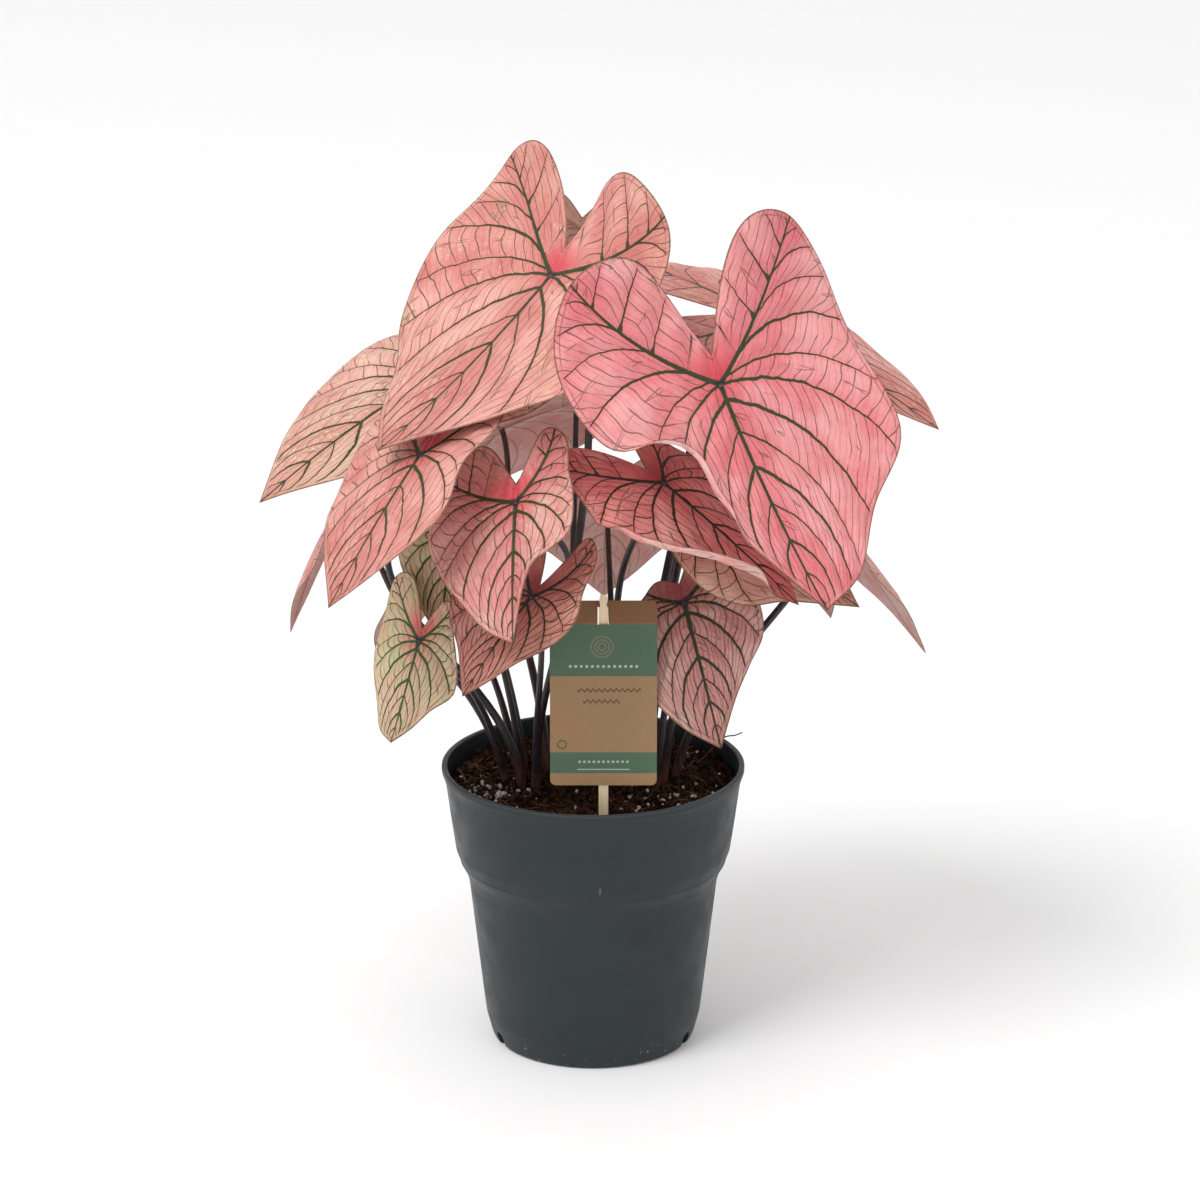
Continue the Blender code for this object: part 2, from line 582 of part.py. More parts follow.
def make_card(material):
    """The label card: rounded corners, a slot, and its top folded back."""
    width = CARD_WIDTH / 2
    top = CARD_FOLD + CARD_FLAP
    corners = ((width, CARD_BOTTOM, -90), (width, top, 0), (-width, top, 90), (-width, CARD_BOTTOM, 180))
    outline = []
    for x, z, start in corners:
        inward_x = x - math.copysign(CARD_CORNER, x)
        inward_z = z + CARD_CORNER if z == CARD_BOTTOM else z - CARD_CORNER
        for angle in np.radians(np.linspace(start, start + 90, CARD_CORNER_POINTS)):
            outline.append((inward_x + CARD_CORNER * math.cos(angle),
                            inward_z + CARD_CORNER * math.sin(angle)))
    centre_x, front = CARD_CENTRE
    back = front + CARD_THICKNESS
    points = [(centre_x + x, y, z) for y in (back, front) for x, z in outline]
    card = add_mesh_object("label_card", points, prism_faces(len(outline)), material)
    low, high = (CARD_FOLD + distance for distance in SLOT_FROM_FOLD)
    half = SLOT_WIDTH / 2
    slot = [(-half, low), (half, low), (half, high), (-half, high)]
    depths = (back + CUT_OVERRUN, front - CUT_OVERRUN)
    cutter_points = [(centre_x + x, y, z) for y in depths for x, z in slot]
    combine(card, "DIFFERENCE", [add_mesh_object("cutter", cutter_points, prism_faces(4))])
    fold_card(card)
    return card


def fold_card(card):
    """Crease the card at its fold line and turn the flap back."""
    shape = bmesh.new()
    shape.from_mesh(card.data)
    everything = shape.verts[:] + shape.edges[:] + shape.faces[:]
    bmesh.ops.bisect_plane(shape, geom=everything, plane_co=(0, 0, CARD_FOLD * MM),
                           plane_no=(0, 0, 1))
    bmesh.ops.triangulate(shape, faces=shape.faces[:])
    angle = math.radians(CARD_FOLD_ANGLE)
    hinge_y = (CARD_CENTRE[1] + CARD_THICKNESS) * MM
    for vertex in shape.verts:
        height = vertex.co.z - CARD_FOLD * MM
        if height > TINY * MM:
            depth = vertex.co.y - hinge_y
            vertex.co.y = hinge_y + height * math.sin(angle) + depth * math.cos(angle)
            vertex.co.z = CARD_FOLD * MM + height * math.cos(angle) - depth * math.sin(angle)
    shape.to_mesh(card.data)
    shape.free()


def stake_depth():
    """Front and back of the stake, which stands just behind the card."""
    front = CARD_CENTRE[1] + CARD_THICKNESS + GAP
    return front, front + STAKE_THICKNESS


def make_stake(material):
    """The wooden stake that carries the card."""
    front, back = stake_depth()
    half = STAKE_WIDTH / 2
    neck = STAKE_TOP - PEG_HEIGHT
    edge = [(STAKE_POINT_WIDTH / 2, STAKE_BOTTOM), (half, STAKE_BOTTOM + STAKE_POINT_LENGTH),
            *((share * half, neck + rise) for share, rise in PEG_PROFILE)]
    outline = [*edge, *((-x, z) for x, z in reversed(edge))]
    points = [(CARD_CENTRE[0] + x, y, z) for y in (back, front) for x, z in outline]
    return add_mesh_object("label_stake", points, prism_faces(len(outline)), material)


def make_stake_hole():
    """The cutter for the stake's hole in the soil."""
    front, back = stake_depth()
    half = STAKE_WIDTH / 2 + GAP
    tip = STAKE_POINT_WIDTH / 2 + GAP
    shoulder = STAKE_BOTTOM + STAKE_POINT_LENGTH
    top = SOIL_LEVEL + STAKE_HOLE_ABOVE_SOIL
    edge = [(tip, STAKE_BOTTOM - GAP), (half, shoulder), (half, top)]
    outline = [*edge, *((-x, z) for x, z in reversed(edge))]
    points = [(CARD_CENTRE[0] + x, y, z) for y in (back + GAP, front - GAP) for x, z in outline]
    return add_mesh_object("cutter", points, prism_faces(len(outline)))


def build():
    """Build every piece."""
    clear_scene()
    materials = {name: make_material(name) for name in MATERIALS}
    make_pot(materials["slate_plastic"])
    make_soil(materials["peat_soil"])
    for name, centre in TUBERS.items():
        make_tuber(name, centre, 0.0, materials["tuber_skin"])
    make_card(materials["kraft_card"])
    make_stake(materials["pale_wood"])
    for leaf in LEAVES:
        make_leaf(leaf, materials[leaf.tone])


build()
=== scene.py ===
# %% [markdown]
# # A caladium in its nursery pot
#
# The plant is a bush of thin heart-shaped leaves, each on its own long dark stem. The CAD model
# gives every piece its place and main form, and this lesson dresses it: finer leaf blades with
# drawn veins, crumbly soil, and worked finishes for the pot and the label. All sizes in the
# helpers are millimetres, and a mesh becomes metres when it is put in the scene.

# %% Load the frame
from collections import namedtuple

import bpy
import numpy as np
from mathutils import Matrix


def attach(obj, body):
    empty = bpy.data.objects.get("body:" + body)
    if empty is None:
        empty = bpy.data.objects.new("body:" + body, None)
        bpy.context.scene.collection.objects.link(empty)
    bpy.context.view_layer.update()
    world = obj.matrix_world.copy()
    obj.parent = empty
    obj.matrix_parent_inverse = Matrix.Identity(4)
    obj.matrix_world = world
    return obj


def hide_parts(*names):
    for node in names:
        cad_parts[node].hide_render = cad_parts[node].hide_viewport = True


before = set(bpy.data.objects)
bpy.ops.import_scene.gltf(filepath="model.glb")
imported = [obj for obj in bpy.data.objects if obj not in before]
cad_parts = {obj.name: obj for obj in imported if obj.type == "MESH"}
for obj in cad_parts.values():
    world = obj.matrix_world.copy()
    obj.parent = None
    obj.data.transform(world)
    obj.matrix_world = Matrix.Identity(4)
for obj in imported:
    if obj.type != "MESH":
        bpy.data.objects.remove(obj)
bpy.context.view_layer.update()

MM = 0.001
print("CAD nodes:", len(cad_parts))

# %% [markdown]
# ## Camera, floor and light
#
# A catalogue picture is taken from a little above with a long lens, so the pot's sides look
# almost parallel. Looking down 18 degrees from two metres gives the rim the same flat oval.
# The light is mostly the white of the room, with a big soft box above on the left and a weaker
# one on the right, over a pale floor.

# %% Camera
CAMERA_PITCH = 18.2
CAMERA_DISTANCE = 2.0
CAMERA_LENS = 141.4
CAMERA_TARGET = np.array((0.00296, 0.0, 0.1975))


def looking(target, azimuth, pitch, distance):
    """Place and turn of a thing that looks at the target from a bearing and a height angle."""
    a, e = np.radians(azimuth), np.radians(pitch)
    back = np.array((np.sin(a) * np.cos(e), -np.cos(a) * np.cos(e), np.sin(e)))
    return target + distance * back, (np.pi / 2 - e, 0.0, a)


camera = bpy.data.objects.new("camera", bpy.data.cameras.new("camera"))
camera.data.lens = CAMERA_LENS
camera.data.sensor_width = 36.0
camera.data.clip_end = 20.0
camera.location, camera.rotation_euler = looking(CAMERA_TARGET, 0, CAMERA_PITCH, CAMERA_DISTANCE)
bpy.context.scene.collection.objects.link(camera)
bpy.context.scene.camera = camera
print("camera at", np.round(camera.location, 3))


# %% Node helpers
def add_node(tree, kind, **settings):
    """A node of a kind with its settings made."""
    node = tree.nodes.new(kind)
    for name, value in settings.items():
        setattr(node, name, value)
    return node


class Signal:
    """A node's output. Each sign in a formula of signals and numbers makes a Math node: a * b
    is 1 where both masks are, and a | b where either is."""

    def __init__(self, socket):
        self.socket = socket

    __add__ = lambda self, other: maths("ADD", self, other)
    __mul__ = lambda self, other: maths("MULTIPLY", self, other)
    __or__ = lambda self, other: maths("MAXIMUM", self, other)
    __sub__ = lambda self, other: maths("SUBTRACT", self, other)
    __rsub__ = lambda self, other: maths("SUBTRACT", other, self)
    __truediv__ = lambda self, other: maths("DIVIDE", self, other)
    __abs__ = lambda self: maths("ABSOLUTE", self)


def feed(socket, value):
    """Plug a signal into a socket, or set a plain number or colour on it."""
    if isinstance(value, Signal):
        socket.id_data.links.new(value.socket, socket)
    elif socket.type == "RGBA":
        socket.default_value = (*value, 1.0)
    else:
        socket.default_value = value


def feed_all(node, **values):
    """Feed a node's inputs by name; a _ in a name stands for a blank."""
    for name, value in values.items():
        feed(node.inputs[name.replace("_", " ")], value)


def fed_node(kind, fed, output=0, **settings):
    """An output of a new node in the tree of the first signal that feeds it."""
    tree = next(value.socket.id_data for value in fed.values() if isinstance(value, Signal))
    node = add_node(tree, kind, **settings)
    for name, value in fed.items():
        feed(node.inputs[name], value)
    return Signal(node.outputs[output])


def maths(operation, *values):
    """A Math node's answer."""
    return fed_node("ShaderNodeMath", dict(enumerate(values)), operation=operation)


def band(value, low, high, at_low=0.0, at_high=1.0):
    """A smooth step: at_low up to low, at_high past high."""
    fed = {"Value": value, "From Min": low, "From Max": high, "To Min": at_low, "To Max": at_high}
    return fed_node("ShaderNodeMapRange", fed, interpolation_type="SMOOTHSTEP")


def near(value, low, high, most=1.0):
    """A smooth step down: most up to low, nothing past high."""
    return band(value, low, high, most, 0.0)


def mix(share, first, second):
    """The first colour with a share of the second."""
    return fed_node("ShaderNodeMix", {0: share, 6: first, 7: second}, 2, data_type="RGBA")


def coats(colour, *layers):
    """A colour under coats laid on in turn: each is a mask and the colour it brings."""
    for mask, paint in layers:
        colour = mix(mask, colour, paint)
    return colour


def noise(place, scale, detail=3.0, roughness=0.5):
    """Cloudy noise from 0 to 1, its scale in cells per metre."""
    fed = {"Vector": place, "Scale": scale, "Detail": detail, "Roughness": roughness}
    return fed_node("ShaderNodeTexNoise", fed)


def bumped(height, strength, distance):
    """A normal bent by a height; distance is the relief's depth in metres."""
    fed = {"Strength": strength, "Distance": distance, "Height": height}
    return fed_node("ShaderNodeBump", fed)


def drawn_out(place, share):
    """The place with its height scaled down, so that a pattern is long and upright."""
    return fed_node("ShaderNodeMapping", {"Vector": place, "Scale": (1.0, 1.0, share)})


def axis(place, name):
    """One number of a place: X, Y or Z."""
    return fed_node("ShaderNodeSeparateXYZ", {0: place}, name)


def carried(tree, name):
    """A value that the mesh carries at its points."""
    return Signal(add_node(tree, "ShaderNodeAttribute", attribute_name=name).outputs["Fac"])


def object_place(tree):
    """The point's place on the object."""
    return Signal(add_node(tree, "ShaderNodeTexCoord").outputs["Object"])


def finish(name, **plain):
    """A new material with plain values set: itself, its Principled shader, its node tree and
    the point's place in that tree."""
    material = bpy.data.materials.new(name)
    material.use_nodes = True
    tree = material.node_tree
    feed_all(tree.nodes["Principled BSDF"], **plain)
    return material, tree.nodes["Principled BSDF"], tree, object_place(tree)


# %% Floor and lights
def put_mesh(name, points, faces, materials, smooth=None):
    """A mesh object from points in millimetres. Faces whose neighbours turn less look smooth."""
    mesh = bpy.data.meshes.new(name)
    mesh.from_pydata((np.asarray(points, float) * MM).tolist(), [], faces)
    for material in materials:
        mesh.materials.append(material)
    if smooth is not None:
        mesh.shade_smooth()
        mesh.set_sharp_from_angle(angle=np.radians(smooth))
    mesh.update()
    piece = bpy.data.objects.new(name, mesh)
    bpy.context.scene.collection.objects.link(piece)
    return piece


FLOOR_REACH = 6000.0
FLOOR_CORNERS = [(FLOOR_REACH * x, FLOOR_REACH * y, 0)
                 for x, y in ((-1, -1), (1, -1), (1, 1), (-1, 1))]
floor_finish, shader, _, place = finish("pale_floor", Roughness=0.7)
feed_all(shader, Base_Color=mix(noise(place, 30.0), (0.91, 0.91, 0.91), (0.92, 0.92, 0.92)))
floor = put_mesh("floor", FLOOR_CORNERS, [(0, 1, 2, 3)], [floor_finish])


def soft_box(name, azimuth, pitch, distance, size, power):
    """A square area light that looks at the plant."""
    light = bpy.data.objects.new(name, bpy.data.lights.new(name, "AREA"))
    light.data.size = size
    light.data.energy = power
    light.location, light.rotation_euler = looking(CAMERA_TARGET, azimuth, pitch, distance)
    bpy.context.scene.collection.objects.link(light)


soft_box("left_box", -44, 52, 5.0, 2.4, 150)
soft_box("right_box", 40, 35, 2.6, 1.6, 4)
world = bpy.data.worlds.new("studio")
world.use_nodes = True
feed_all(world.node_tree.nodes["Background"], Color=(1.0, 1.0, 1.0), Strength=0.82)
bpy.context.scene.world = world
bpy.context.scene.view_settings.view_transform = "Standard"

# %% [markdown]
# ## The outline of a leaf
#
# A caladium leaf is a heart: a pointed tip, two back lobes, and a notch (the sinus) between them.
# The stem joins it a little in front of the notch. The outline is a reach from that joint at
# some angles, joined by a smooth curve, and each leaf widens or narrows it half by half. Drawing
# each outline by hand would work too, but a rule keeps twenty leaves one family.

# %% The leaves, as in the CAD model
PLAIN = (1.0, 1.0, 1.0, 1.0, 1.0)
Leaf = namedtuple("Leaf", "name root junction aim length left right turn bend droop wave via tone",
                  defaults=(PLAIN, PLAIN, 0, (15, 5), (15, 18, 15, 18), 1.5, None, "pink_leaf"))
LEAVES = (
    Leaf("leaf_top_left", (-16, -1), (-17, -30, 347), (207, -45, -1), 105,
         left=(1.0, 1.12, 0.98, 1.0, 0.7), right=(1.1, 1.25, 1.2, 1.04, 0.93), turn=13,
         bend=(-12, -58), droop=(12, 28, -15, -15), wave=2.0),
    Leaf("leaf_front_right", (17, -6), (51, -85, 316), (-20, -67, 32), 103,
         left=(1.2, 1.43, 1.15, 1.1, 1.0), right=(0.85, 0.6, 0.97, 1.15, 1.05), turn=-4,
         bend=(-14, -22), droop=(4, -12, 19, 12), wave=2.0, via=(41, -14, 264), tone="rose_leaf"),
    Leaf("leaf_left_front", (-30.5, -7), (-70, -66, 281), (231, -37, 15), 79,
         left=(1.05, 0.95, 0.7, 0.75, 0.85), right=(1.0, 1.05, 1.05, 0.95, 1.0),
         bend=(8, -8), droop=(0, 9, 8, 5), wave=2.0, via=(-85, -21, 216)),
    Leaf("leaf_front_centre", (-24, -4), (-31, -82, 266), (266, -42, 26), 65,
         left=(0.65, 0.8, 0.7, 0.6, 0.8), right=(1.1, 1.15, 1.25, 0.9, 0.75),
         bend=(10, -28), droop=(11, 15, 21, 8), via=(-10, -50, 230)),
    Leaf("leaf_centre_right", (10, -9), (29, -52, 265), (-24, -33, 9), 77,
         left=(0.95, 0.8, 0.75, 0.65, 0.6), right=(0.95, 0.95, 1.0, 0.85, 0.85),
         bend=(8, 4), droop=(15, 15, 18, 20), wave=2.0, via=(11, -16, 208), tone="dusky_leaf"),
    Leaf("leaf_front_low", (-24.5, -11), (-25, -77, 224), (215, -41, -2), 51,
         left=(1.0, 1.0, 0.95, 0.8, 1.1), right=(1.05, 1.3, 1.4, 1.2, 1.1),
         bend=(12, -40), droop=(10, 16, -4, -14), via=(-21, -67, 207), tone="dusky_leaf"),
    Leaf("leaf_right_low", (27, -7), (38, -32, 207), (-60, -60, 26), 65,
         left=(0.9, 0.95, 0.8, 0.65, 0.6), right=(1.05, 1.0, 0.65, 0.35, 0.3),
         droop=(18, 15, 8, 12), tone="dusky_leaf"),
    Leaf("leaf_left_low", (-37, -2), (-72, -50, 196), (229, -66, 5), 45,
         left=(1.05, 1.15, 0.85, 0.65, 0.75), right=(1.15, 1.05, 1.05, 1.05, 1.0),
         bend=(0, -10), droop=(4, 21, 10, 11), wave=1.2, tone="pale_leaf"),
    Leaf("leaf_left_high", (-30, 15), (-73, 17, 288), (217, -19, -8), 92,
         left=(0.95, 0.75, 0.8, 0.9, 1.0), right=(0.95, 0.95, 0.85, 0.85, 0.9),
         bend=(13, 7), droop=(16, 18, 15, 16), wave=2.0, via=(-55, 23, 222)),
    Leaf("leaf_right_high", (23, 8), (67, -8, 324), (-25, -19, 2), 94,
         turn=46, bend=(13, 12), droop=(14, 22, -10, 14), wave=2.0, via=(39, 5, 225)),
    Leaf("leaf_left_drooping", (-38, 9), (-107, 19, 235), (167, -61, -1), 67, via=(-83, 3, 196)),
    Leaf("leaf_right_drooping", (35, 6), (102, -5, 234), (12, -54, -7), 76,
         bend=(5, 10), droop=(16, 16, 7, 25), via=(93, -3, 215)),
    Leaf("leaf_right_under", (30, 1), (58, -24, 242), (-14, -33, 16), 67,
         left=(1.0, 1.0, 0.9, 0.7, 0.55), right=(1.0, 1.15, 1.1, 0.9, 0.7),
         bend=(0, -5), droop=(15, 15, 9, 28), via=(51, -12, 223)),
    Leaf("leaf_left_under", (-30, 3), (-58, -25, 234), (250, -60, 0), 45, tone="pale_leaf"),
    Leaf("leaf_top_rear", (-10, 12), (-5, 40, 350), (98, -55, 8), 50,
         left=(1.0, 1.0, 0.9, 0.85, 0.85), right=(1.0, 1.0, 0.9, 0.85, 0.85), tone="pale_leaf"),
    Leaf("leaf_rear_right_high", (17, 14), (46, 69, 288), (62, -38, 0), 88, via=(39, 36, 228)),
    Leaf("leaf_rear_right_low", (29, 13), (79, 49, 219), (34, -52, 0), 62),
    Leaf("leaf_rear_middle", (10, 18), (6, 74, 220), (92, -50, 0), 70),
    Leaf("leaf_rear_left_high", (-20, 17), (-40, 75, 252), (128, -40, 0), 86,
         right=(1.0, 1.0, 1.0, 1.1, 1.1), droop=(15, 18, 36, 18), via=(-38, 70, 197)),
    Leaf("leaf_rear_left_low", (-33, 19), (-68, 42, 200), (145, -52, 0), 62),
)
print("leaves:", len(LEAVES))

# %% The half outline
REACH_ANGLES = (14, 32, 56, 86, 114, 138, 156)
HEART_REACH = (0.80, 0.66, 0.60, 0.60, 0.66, 0.73, 0.62)
HEART_SINUS = 0.13
SHAPE_ANGLES = (20, 55, 85, 120, 150)
MARGIN_POINTS, FINE_MARGIN_POINTS = 161, 601
CUBIC_STEPS = 8


def points_along(at, run, line):
    """The points of a line at some runs along it."""
    return np.stack([np.interp(at, run, column) for column in line.T], axis=-1)


def smooth_curve(knots, count):
    """Catmull-Rom: between two knots the curve is a cubic whose slopes come from the neighbours.
    The points lie at equal steps along it."""
    knots = np.asarray(knots, float)
    padded = np.vstack([2 * knots[0] - knots[1], knots, 2 * knots[-1] - knots[-2]])
    t = np.linspace(0.0, 1.0, CUBIC_STEPS, endpoint=False)[:, None]
    parts = [0.5 * (2 * b + (c - a) * t + (2 * a - 5 * b + 4 * c - d) * t ** 2
                    + (3 * b - a - 3 * c + d) * t ** 3)
             for a, b, c, d in zip(padded, padded[1:], padded[2:], padded[3:])]
    curve = np.vstack([*parts, knots[-1:]])
    run = np.concatenate([[0.0], np.cumsum(np.linalg.norm(np.diff(curve, axis=0), axis=1))])
    return points_along(np.linspace(0.0, run[-1], count), run, curve)


def half_outline(leaf, side, count=MARGIN_POINTS):
    """Half the flat margin from tip to sinus, drawn as a left half. Side -1 is the right one.
    A point at an angle from the tip lies at the heart's reach there times the leaf's factor."""
    shape = leaf.left if side == 1 else leaf.right
    reaches = np.array(HEART_REACH) * np.interp(REACH_ANGLES, SHAPE_ANGLES, shape)
    angles = np.radians((0, *REACH_ANGLES, 180)) * (180 + side * leaf.turn) / 180
    radii = leaf.length * np.array((1.0, *reaches, HEART_SINUS))
    return smooth_curve(np.stack([radii * np.cos(angles), radii * np.sin(angles)], axis=1), count)


def polar_angle(points):
    """The angle from the tip's direction, which may pass half a turn."""
    return np.mod(np.arctan2(points[..., 1], points[..., 0]) + 0.5, 2 * np.pi) - 0.5


def margin_of(leaf, side):
    """The half outline, its points' angles and the share of the way along it."""
    margin = half_outline(leaf, side)
    return margin, np.maximum.accumulate(polar_angle(margin)), np.linspace(0, 1, len(margin))


half_steps = np.diff(half_outline(LEAVES[0], 1), axis=0)
print("first half outline, mm long:", round(float(np.linalg.norm(half_steps, axis=1).sum())))

# %% [markdown]
# ## Veins first, then the blade
#
# The main veins of a caladium leaf start where the stem joins: the midrib to the tip, and one rib
# into each lobe. Side veins leave these ribs and bend towards the tip. The blade's mesh can
# follow them: one way across it runs along the ribs, the other way runs out along the side
# veins to the margin. Then a drawn vein is simply a line of the grid, at any size of picture.
# A round grid, rings about the joint, is simpler, but no vein would lie on it.

# %% The fan of side veins
RIB_STARTS = (-1.0, -0.83, -0.64, -0.42, -0.19, -0.05, 0.0, 0.065, 0.2, 0.36, 0.52, 0.68, 0.83,
              1.0)
RIB_NUMBERS = (-6.4, -5, -4, -3, -2, -1, 0, 1, 2, 3, 4, 5, 6, 7.4)
SIDE_ANGLE = 50.0
VEIN_BOW = 0.16
ROW_POWER = 1.35
MARGIN_STRIP = 0.14
MARGIN_ROWS = 10
LOBE_END_FROM = 118
LOBE_RIB_BOW = 0.22
RIB_CURVE_POINTS = 400
# Shares and powers of a fast fall away from the joint.
LOBE_FALL = ((0.6, 1.2), (0.4, 12))
TIP_FALL = ((0.4, 1.6), (0.6, 16))
INNER_POWER = 1.1


def vein_number(s):
    """Counts side veins along the ribs: s is -1 at the lobe, 0 at the joint and 1 at the tip."""
    curve = smooth_curve(np.stack([RIB_STARTS, RIB_NUMBERS], axis=1), RIB_CURVE_POINTS)
    return np.interp(s, curve[:, 0], curve[:, 1])


def row_shares(rows):
    """How far out each row of a patch lies: the last rows are close together, so that a margin
    can roll up smoothly."""
    body = (1 - MARGIN_STRIP) * np.linspace(0, 1, rows - MARGIN_ROWS + 1) ** ROW_POWER
    return np.concatenate([body[:-1], 1 - MARGIN_STRIP * np.linspace(1, 0, MARGIN_ROWS)])


def fall(way, terms):
    """1 at the joint and 0 at a rib's end, as a sum of powers."""
    return sum(share * way ** power for share, power in terms)


def fan(leaf, side, s, r, inner):
    """A patch of the half blade: from a rib (row 0) out along side veins to the margin.

    A side vein from s on the rib ends at an angle on the margin that falls from the lobe's to
    0 at the tip, fast near the joint. It is a parabola bowed towards the leaf's back. The lobe's
    rib ends at the margin's farthest point past an angle. The inner patch lies between this rib
    and the sinus.
    """
    margin, angle, run = margin_of(leaf, side)
    span = (180 + side * leaf.turn) / 180
    in_lobe = angle > np.radians(LOBE_END_FROM * span)
    lobe_run = run[np.argmax(np.where(in_lobe, np.hypot(*margin.T), 0))]
    lobe_angle = np.degrees(np.interp(lobe_run, run, angle))
    back = np.maximum(-s, 0)
    front = 1 - np.maximum(s, 0)
    start_angle = SIDE_ANGLE * span
    lobe_ends = start_angle + (lobe_angle - start_angle) * (1 - fall(1 - back, LOBE_FALL))
    ends = np.where(s < 0, lobe_ends, start_angle * fall(front, TIP_FALL))
    end_run = np.interp(np.radians(ends), angle, run)
    if inner:
        end_run = 1 - (1 - lobe_run) * back ** INNER_POWER
    end, lobe = points_along(end_run, run, margin), points_along(lobe_run, run, margin)
    aside = np.array([-lobe[1], lobe[0]])
    sag = LOBE_RIB_BOW * (back * (1 - back))[:, None] * aside
    rib = np.where(s[:, None] < 0, back[:, None] * lobe - sag,
                   s[:, None] * np.array([leaf.length, 0.0]))
    chord = end - rib
    bow = (0.0 if inner else VEIN_BOW) * np.stack([-chord[:, 1], chord[:, 0]], axis=1)
    return rib[:, None] + chord[:, None] * r[:, None] + 4 * bow[:, None] * (r * (1 - r))[:, None]


# %% Bending the flat blade
LOBE_SHARE = 0.65
HALF_WIDTH_SHARE = 0.6
TINY = 1e-6


def leaf_axes(leaf):
    """Columns: along the midrib to the tip, to the blade's left, and out of its upper face."""
    heading, pitch, roll = np.radians(leaf.aim)
    midrib = np.array([np.cos(pitch) * np.cos(heading), np.cos(pitch) * np.sin(heading),
                       np.sin(pitch)])
    level = np.array([-np.sin(heading), np.cos(heading), 0.0])
    left = level * np.cos(roll) + np.cross(midrib, level) * np.sin(roll)
    return np.stack([midrib, left, np.cross(midrib, left)], axis=1)


def bent(leaf, flat, lift):
    """The flat blade in space. The midrib is an arc in front of the joint and another behind it,
    and across it each half hangs down as an arc whose angle changes from the lobes to the tip."""
    x, y = flat.T
    arch, lobe_bend = np.radians(leaf.bend)
    curl = np.where(x >= 0, arch / leaf.length, lobe_bend / (LOBE_SHARE * leaf.length)) + TINY
    turn, forward = curl * np.abs(x), np.sign(x)
    spine = np.stack([forward * np.sin(turn) / curl, 0 * x, -(1 - np.cos(turn)) / curl], axis=1)
    upper = np.stack([forward * np.sin(turn), 0 * x, np.cos(turn)], axis=1)
    share = np.clip((x + LOBE_SHARE * leaf.length) / ((1 + LOBE_SHARE) * leaf.length), 0, 1)
    left_back, left_front, right_back, right_front = np.radians(leaf.droop)
    hang = np.where(y >= 0, left_back + (left_front - left_back) * share,
                    right_back + (right_front - right_back) * share)
    hang = hang / (HALF_WIDTH_SHARE * leaf.length)
    hang = np.where(np.abs(hang) < TINY, TINY, hang)
    roll = hang * np.abs(y)
    outward = np.stack([0 * x, np.sign(y), 0 * x], axis=1)
    place = spine + outward * (np.sin(roll) / hang)[:, None]
    place = place - upper * ((1 - np.cos(roll)) / hang)[:, None]
    normal = upper * np.cos(roll)[:, None] + outward * np.sin(roll)[:, None]
    return (place + normal * lift[:, None]) @ leaf_axes(leaf).T + np.array(leaf.junction, float)


first_tip = bent(LEAVES[0], np.array([[LEAVES[0].length, 0.0]]), np.zeros(1))
print("midrib tip of the first leaf:", np.round(first_tip, 1))

# %% [markdown]
# ## One blade from four patches
#
# Two patches make each half, and all four meet at the joint. Their shared points are merged, so
# the sheet is closed along its ribs. An upper and a lower face meet in a thin edge at the margin.
# The blade swells a little between its veins, and the ribs stand out below it.

# %% Distances and the blade's relief
STEP = 1.5
FEWEST_STEPS, FEWEST_LOBE_STEPS = 12, 8
LOBE_STEP_SHARE = 0.7
JOINT_CROWDING = 1.5
ROWS = 32
INNER_ROWS = 14
LOBE_RIB_POINTS = 25
HALF_THICKNESS = 0.25
SWELLING = 1.0
MARGIN_WAVES = 2.6
WAVE_SIDE_PHASE = 0.9
WAVE_LENGTH_PHASE = 0.07
RIB_WIDTH = (0.42, 1.15)
SIDE_VEIN_WIDTH = (0.28, 0.66)
# One factor on the width of each side vein, from vein -6 in the lobe to vein 7 near the tip: on
# a live leaf, strong and weak veins take turns.
FIRST_VEIN = -6
VEIN_STRENGTH = (0.5, 0.6, 0.8, 0.6, 1.1, 0.75, 1.0, 1.25, 0.65, 1.15, 0.6, 0.95, 0.55, 0.5)
USUAL_LENGTH, WIDTH_GROWTH = 100, 0.3
RIB_TAPER = 1.3
LEAST_GAUGE = 0.4
MERGE_DECIMALS = 3
WIDEST_VEIN = 0.17
FLATTEST_QUAD = 1e-5
# The fine blade is a little smaller than the CAD leaf, so that it stays inside the CAD box.
TRIM = 0.974


def distance_to(points, line):
    """Distance from each point to a line of short straight pieces."""
    start, along = line[:-1], np.diff(line, axis=0)
    away = points[:, None] - start
    share = np.clip((away * along).sum(2) / np.maximum((along ** 2).sum(1), TINY), 0, 1)
    return np.sqrt(((away - share[:, :, None] * along) ** 2).sum(2)).min(1)


def margin_wave(leaf, flat, side):
    """The wavy margin: a sine along the margin that grows with the square of the way out."""
    margin, angle, run = margin_of(leaf, side)
    here = polar_angle(flat)
    along = np.interp(here, angle, run)
    ring = np.hypot(*flat.T) / np.interp(here, angle, np.hypot(*margin.T))
    phase = WAVE_SIDE_PHASE * side + WAVE_LENGTH_PHASE * leaf.length
    return (leaf.wave * ring ** 2 * np.sin(np.pi * along)
            * np.sin(2 * np.pi * MARGIN_WAVES * along + phase))


